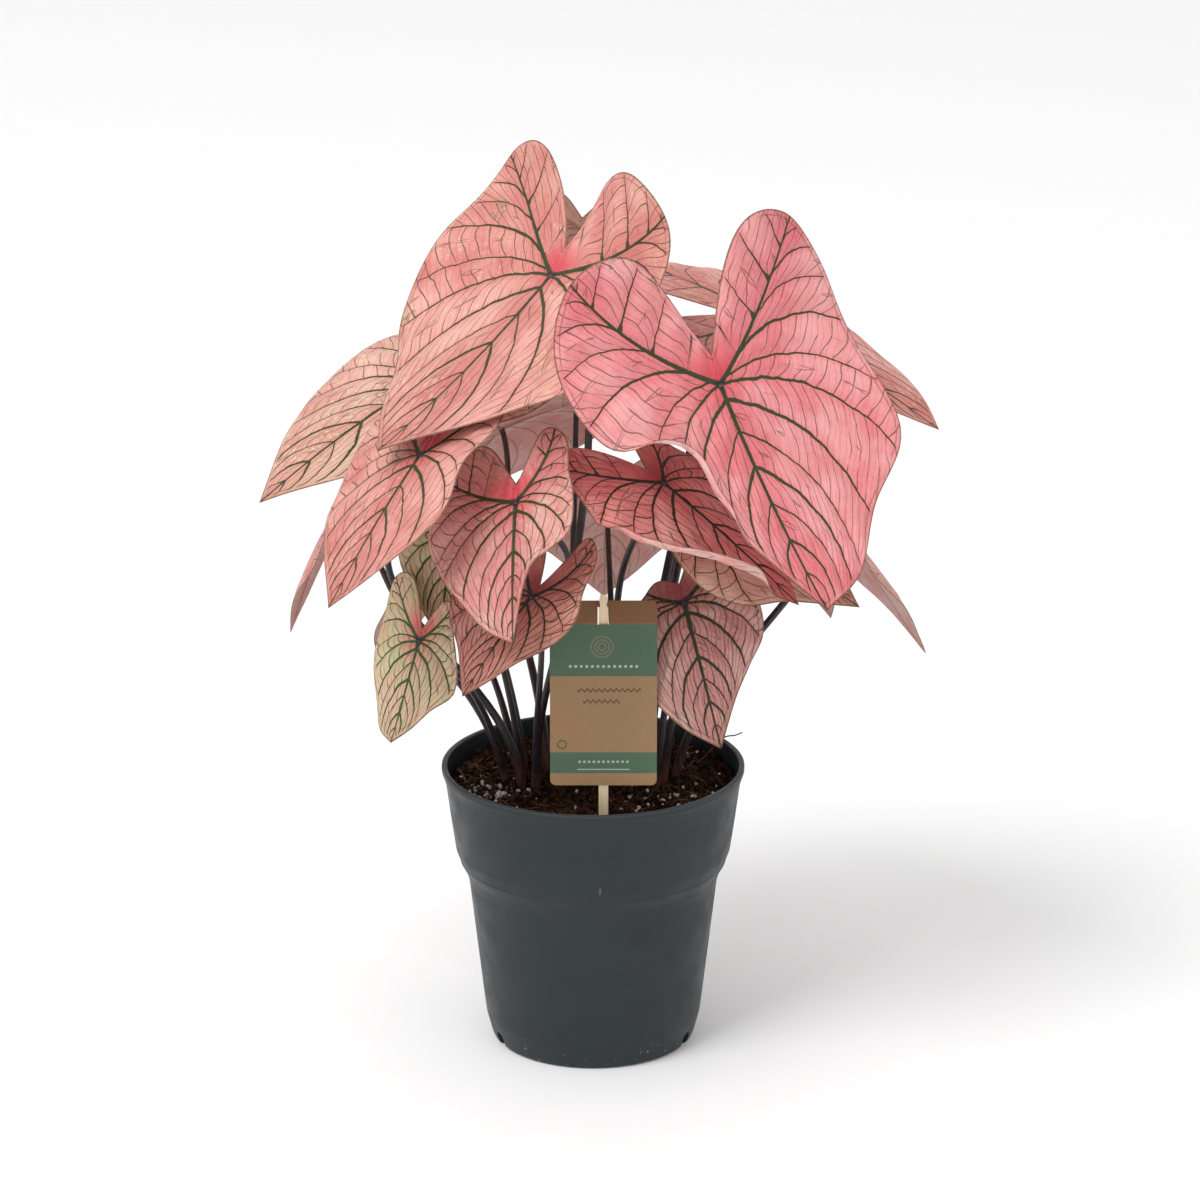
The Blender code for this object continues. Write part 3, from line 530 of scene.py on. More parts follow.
def patch(leaf, side, inner):
    """One patch: flat points, faces and what each point carries for the drawn veins. The gauge
    is the way from one side vein to the next, square to them."""
    steps = max(FEWEST_STEPS, int(leaf.length / STEP))
    lobe_steps = max(FEWEST_LOBE_STEPS, int(LOBE_STEP_SHARE * leaf.length / STEP))
    s = -np.linspace(1, 0, lobe_steps + 1) ** JOINT_CROWDING
    if not inner:
        s = np.concatenate([s, np.linspace(0, 1, steps + 1)[1:] ** JOINT_CROWDING])
    r = row_shares(INNER_ROWS if inner else ROWS)
    grid = fan(leaf, side, s, r, inner)
    number = vein_number(s)
    across = np.gradient(grid, axis=0) / np.gradient(number)[:, None, None]
    along = np.gradient(grid, axis=1)
    along /= np.maximum(np.linalg.norm(along, axis=2), TINY)[:, :, None]
    gauge = np.abs(across[..., 0] * along[..., 1] - across[..., 1] * along[..., 0])
    run = np.cumsum(np.linalg.norm(np.diff(grid, axis=1, prepend=grid[:, :1]), axis=2), axis=1)
    flat = grid.reshape(-1, 2)
    midrib = np.array([[0.0, 0.0], [leaf.length, 0.0]])
    lobe_rib = fan(leaf, side, -np.linspace(0, 1, LOBE_RIB_POINTS), np.array([0.0, 1.0]),
                   False)[:, 0]
    strong = np.interp(np.round(number), FIRST_VEIN + np.arange(len(VEIN_STRENGTH)),
                       VEIN_STRENGTH)
    spread = (np.abs(s)[:, None], number[:, None], strong[:, None], r)
    rib_run, number, strong, share_out = (np.broadcast_to(values, grid.shape[:2]).ravel()
                                          for values in spread)
    size = (leaf.length / USUAL_LENGTH) ** WIDTH_GROWTH
    thin, thick = RIB_WIDTH
    rib_width = size * (thin + (thick - thin) * (1 - rib_run) ** RIB_TAPER)
    thin, thick = SIDE_VEIN_WIDTH
    width = size * strong * (thick + (thin - thick) * share_out)
    gauge = np.maximum(gauge.ravel(), LEAST_GAUGE)
    ribs = np.minimum(distance_to(flat, midrib), distance_to(flat, lobe_rib))
    carries = {"rib": ribs / rib_width, "rib_gap": ribs, "vein": number,
               "vein_width": np.minimum(width / gauge, WIDEST_VEIN), "gauge": gauge,
               "run": run.ravel(), "edge": distance_to(flat, half_outline(leaf, side)),
               "heart": np.hypot(*flat.T), "notch": np.full(len(flat), float(inner)),
               "wave": margin_wave(leaf, flat, side)}
    flat = flat * (1, side)
    columns, rows = grid.shape[:2]
    first = (np.arange(columns - 1)[:, None] * rows + np.arange(rows - 1)).ravel()
    faces = np.stack([first, first + rows, first + rows + 1, first + 1], axis=1)
    return flat, faces, carries


def blade_sheet(leaf):
    """The four patches merged: points that coincide become one, and every face is turned the
    same way, counter-clockwise seen from above."""
    parts = [patch(leaf, side, inner) for side in (1, -1) for inner in (False, True)]
    flat = np.vstack([part[0] for part in parts])
    starts = np.cumsum([0] + [len(part[0]) for part in parts])
    quads = np.vstack([part[1] + start for part, start in zip(parts, starts)])
    _, index = np.unique(np.round(flat, MERGE_DECIMALS), axis=0, return_inverse=True)
    index = index.ravel()
    counts = np.bincount(index)
    merged = np.stack([np.bincount(index, column) / counts for column in flat.T], axis=1)
    carries = {name: np.bincount(index, np.concatenate([part[2][name] for part in parts])) / counts
               for name in parts[0][2]}
    quads = index[quads]
    x, y = merged[quads, 0], merged[quads, 1]
    area = (x * np.roll(y, -1, axis=1) - y * np.roll(x, -1, axis=1)).sum(1)
    real = np.abs(area) > FLATTEST_QUAD
    quads, area = quads[real], area[real]
    quads[area < 0] = quads[area < 0][:, ::-1]
    return merged * TRIM, quads, carries


sheet = blade_sheet(LEAVES[0])
print("first blade sheet:", len(sheet[0]), "points,", len(sheet[1]), "faces")

# %% Blade mesh
# Two leaves have a stretch of margin, from start to end along it, that rolls up and over.
Curl = namedtuple("Curl", "side start end width turn")
CURLS = {"leaf_front_right": Curl(-1, 0.15, 0.43, 8.0, 150),
         "leaf_centre_right": Curl(-1, 0.06, 0.55, 9.0, 125)}
FLAT_CURL = Curl(1, 0.0, 1.0, 1.0, 0)
CURL_FADE = 0.08
CALM_MARGIN = 4
FULL_PANEL, PANEL_LIMITS = 14, (0.2, 1.2)
RIB_SHOULDER = 6
GROOVE_DEPTH, GROOVE_REACH = 0.3, 1.5
EDGE_TAPER = 0.5
RIDGE_HEIGHT, RIDGE_FADE, FAR_RIDGE = 0.7, 40, 0.4
MARGIN_TOUCH = 1e-3


def margin_roll(leaf, flat):
    """How a strip of margin rolls up and over: a point t of the strip's width out moves along an
    arc of a circle, and the roll fades in and out along the margin. The answer is the way out,
    the shift that way, the rise and the angle turned."""
    curl = CURLS.get(leaf.name, FLAT_CURL)
    margin = half_outline(leaf, curl.side, FINE_MARGIN_POINTS) * (TRIM, TRIM * curl.side)
    away = np.hypot(flat[:, None, 0] - margin[:, 0], flat[:, None, 1] - margin[:, 1])
    nearest, edge = away.argmin(1), away.min(1)
    here = nearest / (len(margin) - 1)
    fade = np.clip(np.minimum(here - curl.start, curl.end - here) / CURL_FADE, 0, 1)
    angle = np.radians(curl.turn) * fade * fade * (3 - 2 * fade) + TINY
    out = np.clip(curl.width - edge, 0, curl.width)
    turned_by = out / curl.width * angle
    heading = np.gradient(margin, axis=0)
    heading = curl.side * np.stack([-heading[:, 1], heading[:, 0]], axis=1)
    heading /= -np.linalg.norm(heading, axis=1)[:, None]
    radius = curl.width / angle
    return (heading[nearest], radius * np.sin(turned_by) - out,
            radius * (1 - np.cos(turned_by)), turned_by)


def blade(leaf):
    """Points, faces and carried values of the closed blade: upper face, then lower face. Both
    share the points of the margin."""
    flat, quads, carries = blade_sheet(leaf)
    edge, rib_gap = carries["edge"], carries["rib_gap"]
    ring = np.clip(edge / CALM_MARGIN, 0, 1)
    swelling = SWELLING * np.clip(carries["gauge"] / FULL_PANEL, *PANEL_LIMITS)
    swelling = swelling * np.sin(np.pi * carries["vein"]) ** 2
    swelling = swelling * np.clip(rib_gap / RIB_SHOULDER, 0, 1) * ring
    groove = GROOVE_DEPTH * np.exp(-(rib_gap / GROOVE_REACH) ** 2) * ring
    lift = carries["wave"] + swelling - groove
    thick = HALF_THICKNESS * np.clip(edge / EDGE_TAPER, 0, 1)
    ridge = RIDGE_HEIGHT * np.exp(-carries["rib"] ** 2) * ring
    ridge = ridge * (FAR_RIDGE + (1 - FAR_RIDGE) * np.exp(-carries["heart"] / RIDGE_FADE))
    out, shift, rise, turned_by = margin_roll(leaf, flat)
    upper, lower = (bent(leaf, flat + out * (shift - np.sin(turned_by) * height)[:, None],
                         lift + rise + np.cos(turned_by) * height)
                    for height in (thick, -thick - ridge))
    on_margin = edge < MARGIN_TOUCH
    count = len(flat)
    below = np.where(on_margin, np.arange(count), count + np.cumsum(~on_margin) - 1)
    points = np.vstack([upper, lower[~on_margin]])
    faces = np.vstack([quads, below[quads][:, ::-1]])
    carries = {name: np.concatenate([values, values[~on_margin]])
               for name, values in carries.items()}
    carries["under"] = np.concatenate([np.zeros(count), np.ones(len(points) - count)])
    return points, faces, carries


# %% [markdown]
# ## The stems
#
# Each stem (petiole) rises from its tuber, leans out between its neighbours and meets the blade
# from below. It is a round tube carried along the route that the CAD model gives, thick at the
# soil and thin at the blade. A curve object with a bevel would do, but a tube worked out here
# joins the blade's mesh in one piece.

# %% Stem routes and tubes
SOIL_LEVEL = 114.0
TUBER_CROWN = 103.0
GAP = 0.3
STEM_LEAN = 0.8
STRAIGHT_RISE = 5.0
ARRIVAL_SHARE = 0.75
START_PULL, END_PULL, VIA_PULL = 1.2, 0.9, 1.1
STEM_SIDES = 14
STEM_RINGS = 15
STEM_TAPER = 0.35
STEM_RADIUS, STEM_GROWTH = 1.0, 0.01
BASE_SWELLING, SWELLING_FADE = 0.35, 12
WIDEST_TOP = 1.2


def unit(vector):
    """The same direction at length 1."""
    return vector / np.linalg.norm(vector)


def round_steps(count):
    """Cosines and sines of equal steps round a circle."""
    angle = np.arange(count) * 2 * np.pi / count
    return np.cos(angle), np.sin(angle)


def turned_faces(rows, segments, closed):
    """Quads between neighbouring rings; a closed profile joins its last ring to its first."""
    ring = np.arange(rows if closed else rows - 1)[:, None] * segments
    following = (ring + segments) % (rows * segments)
    k = np.arange(segments)
    after = (k + 1) % segments
    quads = np.broadcast_arrays(ring + k, ring + after, following + after, following + k)
    return np.stack(quads, axis=2).reshape(-1, 4).tolist()


def hermite(start, end, start_pull, end_pull, steps):
    """A cubic between two places that leaves and arrives along the two pulls."""
    span = np.linalg.norm(end - start)
    t = np.linspace(0.0, 1.0, steps + 1)[1:, None]
    return ((2 * t ** 3 - 3 * t ** 2 + 1) * start + (3 * t ** 2 - 2 * t ** 3) * end
            + (t ** 3 - 2 * t ** 2 + t) * span * start_pull + (t ** 3 - t ** 2) * span * end_pull)


def stem_route(leaf):
    """Centre line from the tuber's crown, straight through the soil, then curved to the blade."""
    soil_point = np.array([*leaf.root, SOIL_LEVEL], float)
    joint = np.array(leaf.junction, float)
    up = np.array([0.0, 0.0, 1.0])
    leaning = unit(up + STEM_LEAN * unit(joint - soil_point))
    foot = soil_point - leaning * (SOIL_LEVEL - TUBER_CROWN - 2 * GAP) / leaning[2]
    start = soil_point + leaning * STRAIGHT_RISE / leaning[2]
    arrival = unit(ARRIVAL_SHARE * leaf_axes(leaf)[:, 2] + (1 - ARRIVAL_SHARE) * up)
    if leaf.via is None:
        upper = hermite(start, joint, START_PULL * leaning, END_PULL * arrival, 2 * STEM_RINGS)
    else:
        via = np.array(leaf.via, float)
        passing = unit(joint - start)
        upper = np.vstack([hermite(start, via, VIA_PULL * leaning, passing, STEM_RINGS),
                           hermite(via, joint, passing, VIA_PULL * arrival, STEM_RINGS)])
    return np.vstack([foot, start, upper])


def tube(route, radii, sides):
    """Rings of points about a route, each ring turned as little as can be from the last, and
    faces that close both ends."""
    tangents = np.gradient(route, axis=0)
    tangents /= np.linalg.norm(tangents, axis=1)[:, None]
    across = [unit(np.cross(tangents[0], (0.3, 1.0, 0.0)))]
    for tangent in tangents[1:]:
        across.append(unit(across[-1] - tangent * (across[-1] @ tangent)))
    across = np.array(across)[:, None]
    other = np.cross(tangents[:, None], across)
    cosine, sine = (values[:, None] for values in round_steps(sides))
    rings = route[:, None] + radii[:, None, None] * (cosine * across + sine * other)
    ends = [range(sides)[::-1], range((len(route) - 1) * sides, len(route) * sides)]
    return rings.reshape(-1, 3), turned_faces(len(route), sides, False) + ends


def stem(leaf):
    """The stem's tube: it tapers from the soil to the blade, with a slightly swollen base."""
    route = stem_route(leaf)
    base = STEM_RADIUS + STEM_GROWTH * leaf.length
    share = np.linspace(0, 1, len(route) - 1)
    radii = base * (1 - STEM_TAPER * share) + BASE_SWELLING * np.exp(-share * SWELLING_FADE)
    radii = np.concatenate([[base], radii])
    radii[-1] = min(radii[-1], WIDEST_TOP)
    points, faces = tube(route, radii, STEM_SIDES)
    return points, faces, np.concatenate([[0.0], share]).repeat(STEM_SIDES)


# %% [markdown]
# ## Leaf finish
#
# A live leaf is not one colour. The tissue goes from a deep rose at the ribs to a paler salmon
# between them, with cream and green flecks, and its veins are dark olive green. Main and side
# veins are drawn from what the mesh carries. Thin cross veins run slanted and arched from one
# side vein over to the next, broken here and there, over a fainter and finer ladder and a
# wavering line halfway. An image could hold all this, but a drawn pattern stays sharp and each
# leaf gets its own.

# %% Vein group
VEIN_MASKS = ("Main", "Cross", "Rim", "Pillow", "Height")
LADDER_PITCH = 3.2


def make_vein_group():
    """Masks for the drawn veins.

    Side veins lie where the carried vein number is whole: the distance to the nearest whole
    number, in half widths, is below 1. Cross veins lie where the run along the side veins, less
    a slant and an arch on the way over, divided by their pitch, is whole; the ladder is the same
    with a finer pitch. The halfway line lies where the number is half. The pillow is 0 on the
    side veins and 1 halfway, as a parabola.
    """
    settings = ("Waver", "Pitch", "Ladder", "Fine")
    tree = bpy.data.node_groups.new("leaf_veins", "ShaderNodeTree")
    for way, names in (("INPUT", settings), ("OUTPUT", VEIN_MASKS)):
        for name in names:
            tree.interface.new_socket(name, in_out=way, socket_type="NodeSocketFloat")
    inside, outside = add_node(tree, "NodeGroupInput"), add_node(tree, "NodeGroupOutput")
    waver, pitch, ladder_share, fine = (Signal(inside.outputs[name]) for name in settings)
    place = object_place(tree)
    broad, slow, quick = (noise(place, scale, detail) - 0.5
                          for scale, detail in ((70.0, 1.0), (130.0, 2.0), (900.0, 1.0)))
    gauge, edge, heart = (carried(tree, name) for name in ("gauge", "edge", "heart"))

    number = carried(tree, "vein") + slow * waver / gauge
    rough = quick * 0.5
    rib = near(carried(tree, "rib") + rough, 0.75, 1.2)
    off = maths("PINGPONG", number, 0.5)
    clear = 1.0 - carried(tree, "notch") * near(heart, 14.0, 24.0)
    side = near(off / carried(tree, "vein_width") + rough, 0.75, 1.3)
    main = rib | side * clear * band(edge, 1.0, 2.5)

    way_over = maths("FRACT", abs(number))
    across, arch = way_over * gauge, way_over * (1.0 - way_over)
    panel = fed_node("ShaderNodeTexWhiteNoise", {"W": maths("FLOOR", number)},
                     noise_dimensions="1D")

    def rungs(slant, bulge, bend, pitch, thin, thick):
        """Lines from one side vein over to the next, one every pitch."""
        run = carried(tree, "run") - across * slant - arch * bulge + broad * bend
        distance = maths("PINGPONG", run / pitch + panel * 3.0, 0.5) * pitch
        return near(distance + quick * 0.2, thin, thick)

    bold = ladder_share * 0.3
    branch = (rungs(0.35, 7.0, 7.0, pitch, 0.10, bold + 0.32)
              * band(noise(place, 80.0, 1.0), 0.32, 0.46, 0.25))
    ladder = rungs(0.1, 3.0, 6.0, LADDER_PITCH, 0.05, bold + 0.22) * ladder_share
    halfway = (near(abs((0.5 - off) * gauge + broad * 6.0), 0.08, 0.36, 0.8)
               * band(gauge, 5.0, 9.0) * band(noise(place, 90.0, 1.0), 0.45, 0.58))
    edge = edge + quick * 0.6
    inner_rim = near(abs(edge - 2.4), 0.12, 0.4, 0.6) * band(noise(place, 50.0, 1.0), 0.42, 0.58)
    cross = (ladder | branch | halfway) * clear * fine | inner_rim
    pillow = arch * 4.0
    height = noise(place, 900.0, 3.0) - (main + cross * 0.6) + pillow
    feed_all(outside, Main=main, Cross=cross, Rim=near(edge, 0.35, 0.8), Pillow=pillow,
             Height=height)
    return tree


vein_group = make_vein_group()

# %% Leaf colours
Look = namedtuple("Look", "deep pale cream cream_share vein cross under fine blush ladder",
                  defaults=(0.3,))
CRIMSON = (0.58, 0.03, 0.055)
PALE_PINK = (0.86, 0.50, 0.46)
NET_GREEN = (0.10, 0.15, 0.03)
THREAD = (0.95, 0.82, 0.76)
RIM_BROWN, RIM_BELOW = (0.13, 0.07, 0.03), (0.2, 0.1, 0.06)
JOINT_BLACK = (0.012, 0.012, 0.018)
VEIN_BELOW = (0.25, 0.16, 0.09)
LOOKS = {
    "salmon": Look((0.52, 0.12, 0.105), (0.66, 0.275, 0.23), (0.72, 0.56, 0.34), 0.4,
                   (0.030, 0.040, 0.007), (0.06, 0.045, 0.012), (0.70, 0.43, 0.40), 0.95, CRIMSON),
    "straw": Look((0.58, 0.23, 0.18), (0.68, 0.40, 0.31), (0.70, 0.60, 0.36), 0.9,
                  (0.030, 0.042, 0.007), (0.07, 0.055, 0.016), (0.70, 0.45, 0.38), 0.9, CRIMSON),
    "rose": Look((0.66, 0.11, 0.135), (0.77, 0.27, 0.285), (0.78, 0.54, 0.42), 0.15,
                 (0.030, 0.040, 0.009), (0.07, 0.042, 0.016), (0.74, 0.46, 0.43), 0.9, CRIMSON),
    "coral": Look((0.53, 0.132, 0.13), (0.62, 0.30, 0.26), (0.74, 0.60, 0.38), 0.45,
                  (0.030, 0.040, 0.009), (0.065, 0.042, 0.016), (0.74, 0.43, 0.40), 0.9, CRIMSON),
    "ruby": Look((0.61, 0.095, 0.096), (0.77, 0.28, 0.26), (0.60, 0.36, 0.24), 0.25,
                 (0.020, 0.019, 0.007), (0.04, 0.022, 0.012), (0.74, 0.50, 0.45), 1.0,
                 (0.35, 0.02, 0.04), 0.5),
    "dusky": Look((0.46, 0.106, 0.084), (0.57, 0.238, 0.174), (0.54, 0.34, 0.20), 0.35,
                  (0.020, 0.019, 0.007), (0.027, 0.016, 0.009), (0.70, 0.46, 0.42), 1.0,
                  (0.22, 0.02, 0.03), 0.75),
    "mauve": Look((0.42, 0.132, 0.122), (0.565, 0.298, 0.256), (0.52, 0.38, 0.26), 0.4,
                  (0.020, 0.026, 0.008), (0.024, 0.022, 0.010), (0.60, 0.40, 0.35), 1.0,
                  (0.22, 0.02, 0.035), 0.6),
    "cream": Look((0.58, 0.32, 0.22), (0.54, 0.43, 0.26), (0.30, 0.40, 0.14), 0.9,
                  (0.022, 0.075, 0.009), (0.030, 0.080, 0.012), (0.50, 0.42, 0.26), 1.0, CRIMSON,
                  0.5),
}
LEAF_LOOKS = {"leaf_front_right": "rose", "leaf_front_centre": "coral",
              "leaf_centre_right": "ruby", "leaf_front_low": "dusky", "leaf_right_low": "mauve",
              "leaf_left_low": "cream", "leaf_left_under": "cream", "leaf_top_rear": "straw",
              "leaf_left_high": "straw", "leaf_right_under": "straw"}


def make_leaf_finish(name, look):
    """Tissue, flecks, blush about the joint, veins and rim on the upper face, with painted shade
    that deepens the tissue along the side veins; a paler, softer copy of them below."""
    material, shader, tree, place = finish("leaf_" + name, Roughness=0.5, Specular_IOR_Level=0.35)
    veins = add_node(tree, "ShaderNodeGroup", node_tree=vein_group)
    feed_all(veins, Waver=2.2, Pitch=6.5, Ladder=look.ladder, Fine=look.fine)
    main, cross, rim, pillow, height = (Signal(veins.outputs[mask]) for mask in VEIN_MASKS)
    heart, rib_gap = carried(tree, "heart"), carried(tree, "rib_gap")

    def patches(scale, low, high, detail=1.0, roughness=0.5):
        """Soft islands of noise."""
        return band(noise(place, scale, detail, roughness), low, high)

    cloud = patches(60.0, 0.3, 0.7, 4.0, 0.6)
    paler = band(rib_gap, 8.0, 24.0) * patches(24.0, 0.35, 0.60)
    tan = patches(19.0, 0.48, 0.66) * look.cream_share
    fleck = patches(420.0, 0.53, 0.66, 3.0, 0.7) * patches(45.0, 0.40, 0.60, 2.0)
    net = patches(520.0, 0.46, 0.60, 2.0) * patches(32.0, 0.70, 0.75)
    blush = near(heart, 2.0, 15.0, 0.4) | near(heart, 4.0, 21.0, 0.8) * carried(tree, "notch")
    joint = near(heart, 1.2, 5.0, 0.95) * near(rib_gap, 0.6, 2.2)
    above = coats(mix(cloud, look.deep, look.pale),
                  (paler * 0.3, PALE_PINK), (tan * 0.35, look.cream),
                  (near(rib_gap, 1.0, 12.0, 0.7), look.deep),
                  # painted shade: the tissue deepens along the side veins, where the swollen
                  # panels dip
                  (near(pillow, 0.1, 0.7, 0.4), look.deep),
                  (fleck * look.cream_share, look.cream), (net * 0.75, NET_GREEN),
                  (noise(place, 1500.0, 2.0) * 0.12, THREAD), (blush, look.blush),
                  (cross * 0.9, look.cross), (main, look.vein), (rim * 0.8, RIM_BROWN),
                  (joint, JOINT_BLACK))
    below = coats(mix(cloud, look.under, look.pale),
                  (cross * 0.3, look.cross), (main * 0.55, VEIN_BELOW), (rim * 0.6, RIM_BELOW))
    feed_all(shader, Base_Color=mix(carried(tree, "under"), above, below),
             Normal=bumped(height, 0.6, 0.0005))
    return material


leaf_finishes = {name: make_leaf_finish(name, look) for name, look in LOOKS.items()}
print("leaf finishes:", ", ".join(leaf_finishes))

# %% Stem finish
stem_finish, shader, tree, place = finish("dark_stem", Roughness=0.42)
streak = band(noise(drawn_out(place, 0.08), 900.0, 3.0), 0.35, 0.65)
height = carried(tree, "height")
dark = mix(streak, (0.012, 0.010, 0.013), (0.035, 0.022, 0.024))
light = mix(streak, (0.05, 0.03, 0.022), (0.09, 0.055, 0.03))
base = mix(streak, (0.08, 0.025, 0.02), (0.14, 0.06, 0.035))
colour = coats(dark, (band(height, 0.55, 0.95), light), (near(height, 0.0, 0.06, 0.8), base))
feed_all(shader, Base_Color=colour, Normal=bumped(streak, 0.3, 0.0002))

# %% Build the leaves
def joined(parts):
    """Several sets of points and faces as one."""
    starts = np.cumsum([0] + [len(points) for points, _ in parts]).tolist()
    return (np.vstack([points for points, _ in parts]),
            [tuple(i + start for i in face) for (_, faces), start in zip(parts, starts)
             for face in faces])


def build_leaf(leaf):
    """Blade and stem in one mesh, which stands for the CAD leaf."""
    points, faces, carries = blade(leaf)
    stem_points, stem_faces, share = stem(leaf)
    quads = [tuple(dict.fromkeys(face)) for face in faces.tolist()]
    quads = [face for face in quads if len(face) > 2]
    look = LEAF_LOOKS.get(leaf.name, "salmon")
    piece = put_mesh(leaf.name + "_fine", *joined([(points, quads), (stem_points, stem_faces)]),
                     [leaf_finishes[look], stem_finish], smooth=70)
    slots = np.repeat(np.array([0, 1], np.int32), (len(quads), len(stem_faces)))
    piece.data.polygons.foreach_set("material_index", slots)
    carries["height"] = np.zeros(len(points))
    for name, values in carries.items():
        tail = share if name == "height" else np.zeros(len(stem_points))
        attribute = piece.data.attributes.new(name, "FLOAT", "POINT")
        attribute.data.foreach_set("value", np.concatenate([values, tail]).astype(np.float32))
    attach(piece, "root")
    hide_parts(leaf.name)
    return piece


leaves = [build_leaf(leaf) for leaf in LEAVES]
triangles = sum(len(f.vertices) - 2 for leaf in leaves for f in leaf.data.polygons)
print("leaves built:", len(leaves), "with", triangles, "triangles")

# %% [markdown]
# ## The pot
#
# A nursery pot is blown or moulded from thin dark plastic: a plain taper, a wider shoulder that
# lets pots stack, a thick lip, and a foot ring with notches and drain holes. It is a profile
# turned about the upright axis. The CAD wall has 36 flat sides, so a finer one stands for it,
# with rounded corners and the faint crease under its shoulder. A boolean cuts the notches and
# holes, because they are the one part that turning can't give.

# %% Turned shapes
CORNER_STEPS = 4


def rounded(profile, radius):
    """The profile with each corner replaced by a short parabola that starts and ends a radius
    away from it, or less on short sides."""
    profile = np.asarray(profile, float)
    ends = []
    for other in (np.roll(profile, 1, axis=0), np.roll(profile, -1, axis=0)):
        length = np.linalg.norm(other - profile, axis=1)[:, None]
        ends.append(profile + (other - profile) / length * np.minimum(radius, 0.45 * length))
    t = np.linspace(0, 1, CORNER_STEPS)[:, None, None]
    curve = (1 - t) ** 2 * ends[0] + 2 * t * (1 - t) * profile + t ** 2 * ends[1]
    return curve.transpose(1, 0, 2).reshape(-1, 2)


def turned(profile, segments):
    """A ring of points at each (radius, height) of the profile."""
    cosine, sine = round_steps(segments)
    radius, height = np.asarray(profile, float).T[:, :, None]
    rings = np.broadcast_arrays(radius * cosine, radius * sine, height)
    return np.stack(rings, axis=2).reshape(-1, 3)


# %% The fine pot
POT_SEGMENTS = 160
POT_CORNER = 0.7
POT_SHARP_ANGLE = 38
POT_OUTSIDE = ((38.5, 0.0), (41.5, 0.0), (43.5, 0.9), (44.4, 3.3), (46.6, 11.6), (50.1, 42.0),
               (53.6, 72.5), (54.9, 77.0), (57.5, 81.6), (57.6, 82.6), (59.2, 87.0),
               (61.2, 101.0), (62.7, 112.5), (63.4, 117.0), (64.3, 120.2), (65.0, 121.7),
               (65.0, 124.0), (62.6, 124.0))
POT_INSIDE = ((62.0, 116.5), (58.0, 87.0), (56.6, 82.0), (53.8, 77.0), (52.4, 72.5),
              (48.9, 42.0), (45.4, 11.6), (43.2, 4.5), (1.0, 4.5), (1.0, 3.0), (38.5, 3.0))
NOTCH_BEARINGS = (-154.0, -26.0, 90.0)
NOTCH_REACHES = (36.5, 48.6)
NOTCH_HALF_WIDTH, NOTCH_SPRING, NOTCH_FLOOR = 3.0, 4.0, -2.0
HOLES = 6
HOLE_RING, HOLE_RADIUS, HOLE_SIDES = 27, 4, 20
HOLE_HEIGHTS = (1.0, 6.5)


def prism(ends):
    """A block between two outlines, its sides and its two ends closed."""
    count = len(ends[0])
    k = np.arange(count)
    after = (k + 1) % count
    sides = np.stack([k, after, count + after, count + k], axis=1).tolist()
    return np.vstack(ends), [range(count)[::-1], range(count, 2 * count), *sides]


def foot_cutters():
    """Arched blocks for the three foot notches and upright rods for the drain holes."""
    arch = np.linspace(0, np.pi, 9)
    wide = NOTCH_HALF_WIDTH
    outline = np.vstack([[(-wide, NOTCH_FLOOR), (wide, NOTCH_FLOOR)],
                         np.stack([wide * np.cos(arch), NOTCH_SPRING + wide * np.sin(arch)],
                                  axis=1)])
    blocks = []
    for bearing in np.radians(NOTCH_BEARINGS):
        along = np.array([np.cos(bearing), np.sin(bearing)])
        aside = np.array([-along[1], along[0]]) * outline[:, :1]
        blocks.append(prism([np.column_stack([along * reach + aside, outline[:, 1]])
                             for reach in NOTCH_REACHES]))
    cosine, sine = round_steps(HOLE_SIDES)
    for bearing in 2 * np.pi / HOLES * (np.arange(HOLES) + 0.5):
        x = HOLE_RING * np.cos(bearing) + HOLE_RADIUS * cosine
        y = HOLE_RING * np.sin(bearing) + HOLE_RADIUS * sine
        blocks.append(prism([np.stack([x, y, 0 * x + height], axis=1)
                             for height in HOLE_HEIGHTS]))
    return put_mesh("foot_cutters", *joined(blocks), [])


def make_pot(material):
    """The turned wall less its cutters, as one closed mesh."""
    profile = rounded(POT_OUTSIDE + POT_INSIDE, POT_CORNER)
    shell = put_mesh("pot_shell", turned(profile, POT_SEGMENTS),
                     turned_faces(len(profile), POT_SEGMENTS, True), [material])
    tools = foot_cutters()
    cut = shell.modifiers.new("cut", "BOOLEAN")
    cut.operation = "DIFFERENCE"
    cut.object = tools
    result = shell.evaluated_get(bpy.context.evaluated_depsgraph_get())
    made = bpy.data.meshes.new_from_object(result)
    for spare in (shell, tools):
        bpy.data.objects.remove(spare, do_unlink=True)
    made.shade_smooth()
    made.set_sharp_from_angle(angle=np.radians(POT_SHARP_ANGLE))
    pot = bpy.data.objects.new("pot_fine", made)
    bpy.context.scene.collection.objects.link(pot)
    return pot


# %% Pot finish
MARK_X, MARK_Z = 0.003, 0.0882
pot_finish, shader, _, place = finish("slate_pot", Roughness=0.42, Specular_IOR_Level=0.24)
x, y, z = (axis(place, name) for name in "XYZ")
slate = mix(noise(place, 25.0, 4.0), (0.017, 0.023, 0.027), (0.024, 0.032, 0.036))
scuffs = band(noise(place, 420.0, 2.0, 0.8), 0.67, 0.71) * near(z, 0.004, 0.014, 0.8)
mould_mark = (near(abs(x - MARK_X), 0.0002, 0.0005, 0.6) * near(abs(z - MARK_Z), 0.0010, 0.0022)
              * near(y, -0.02, -0.01))
colour = coats(slate, (scuffs, (0.24, 0.26, 0.26)), (mould_mark, (0.14, 0.15, 0.16)),
               # painted highlight: the top of the lip, from 122.5 mm up, is paler, as if lit from
               # above
               (band(z, 0.1225, 0.124, 0.0, 0.25), (0.10, 0.12, 0.125)))
grain, flow = noise(place, 1600.0, 2.0), noise(drawn_out(place, 0.1), 160.0, 2.0)
feed_all(shader, Base_Color=colour, Normal=bumped(grain + flow * 1.5, 0.12, 0.0003),
         Roughness=band(noise(place, 90.0, 4.0), 0.3, 0.7, 0.36, 0.5))

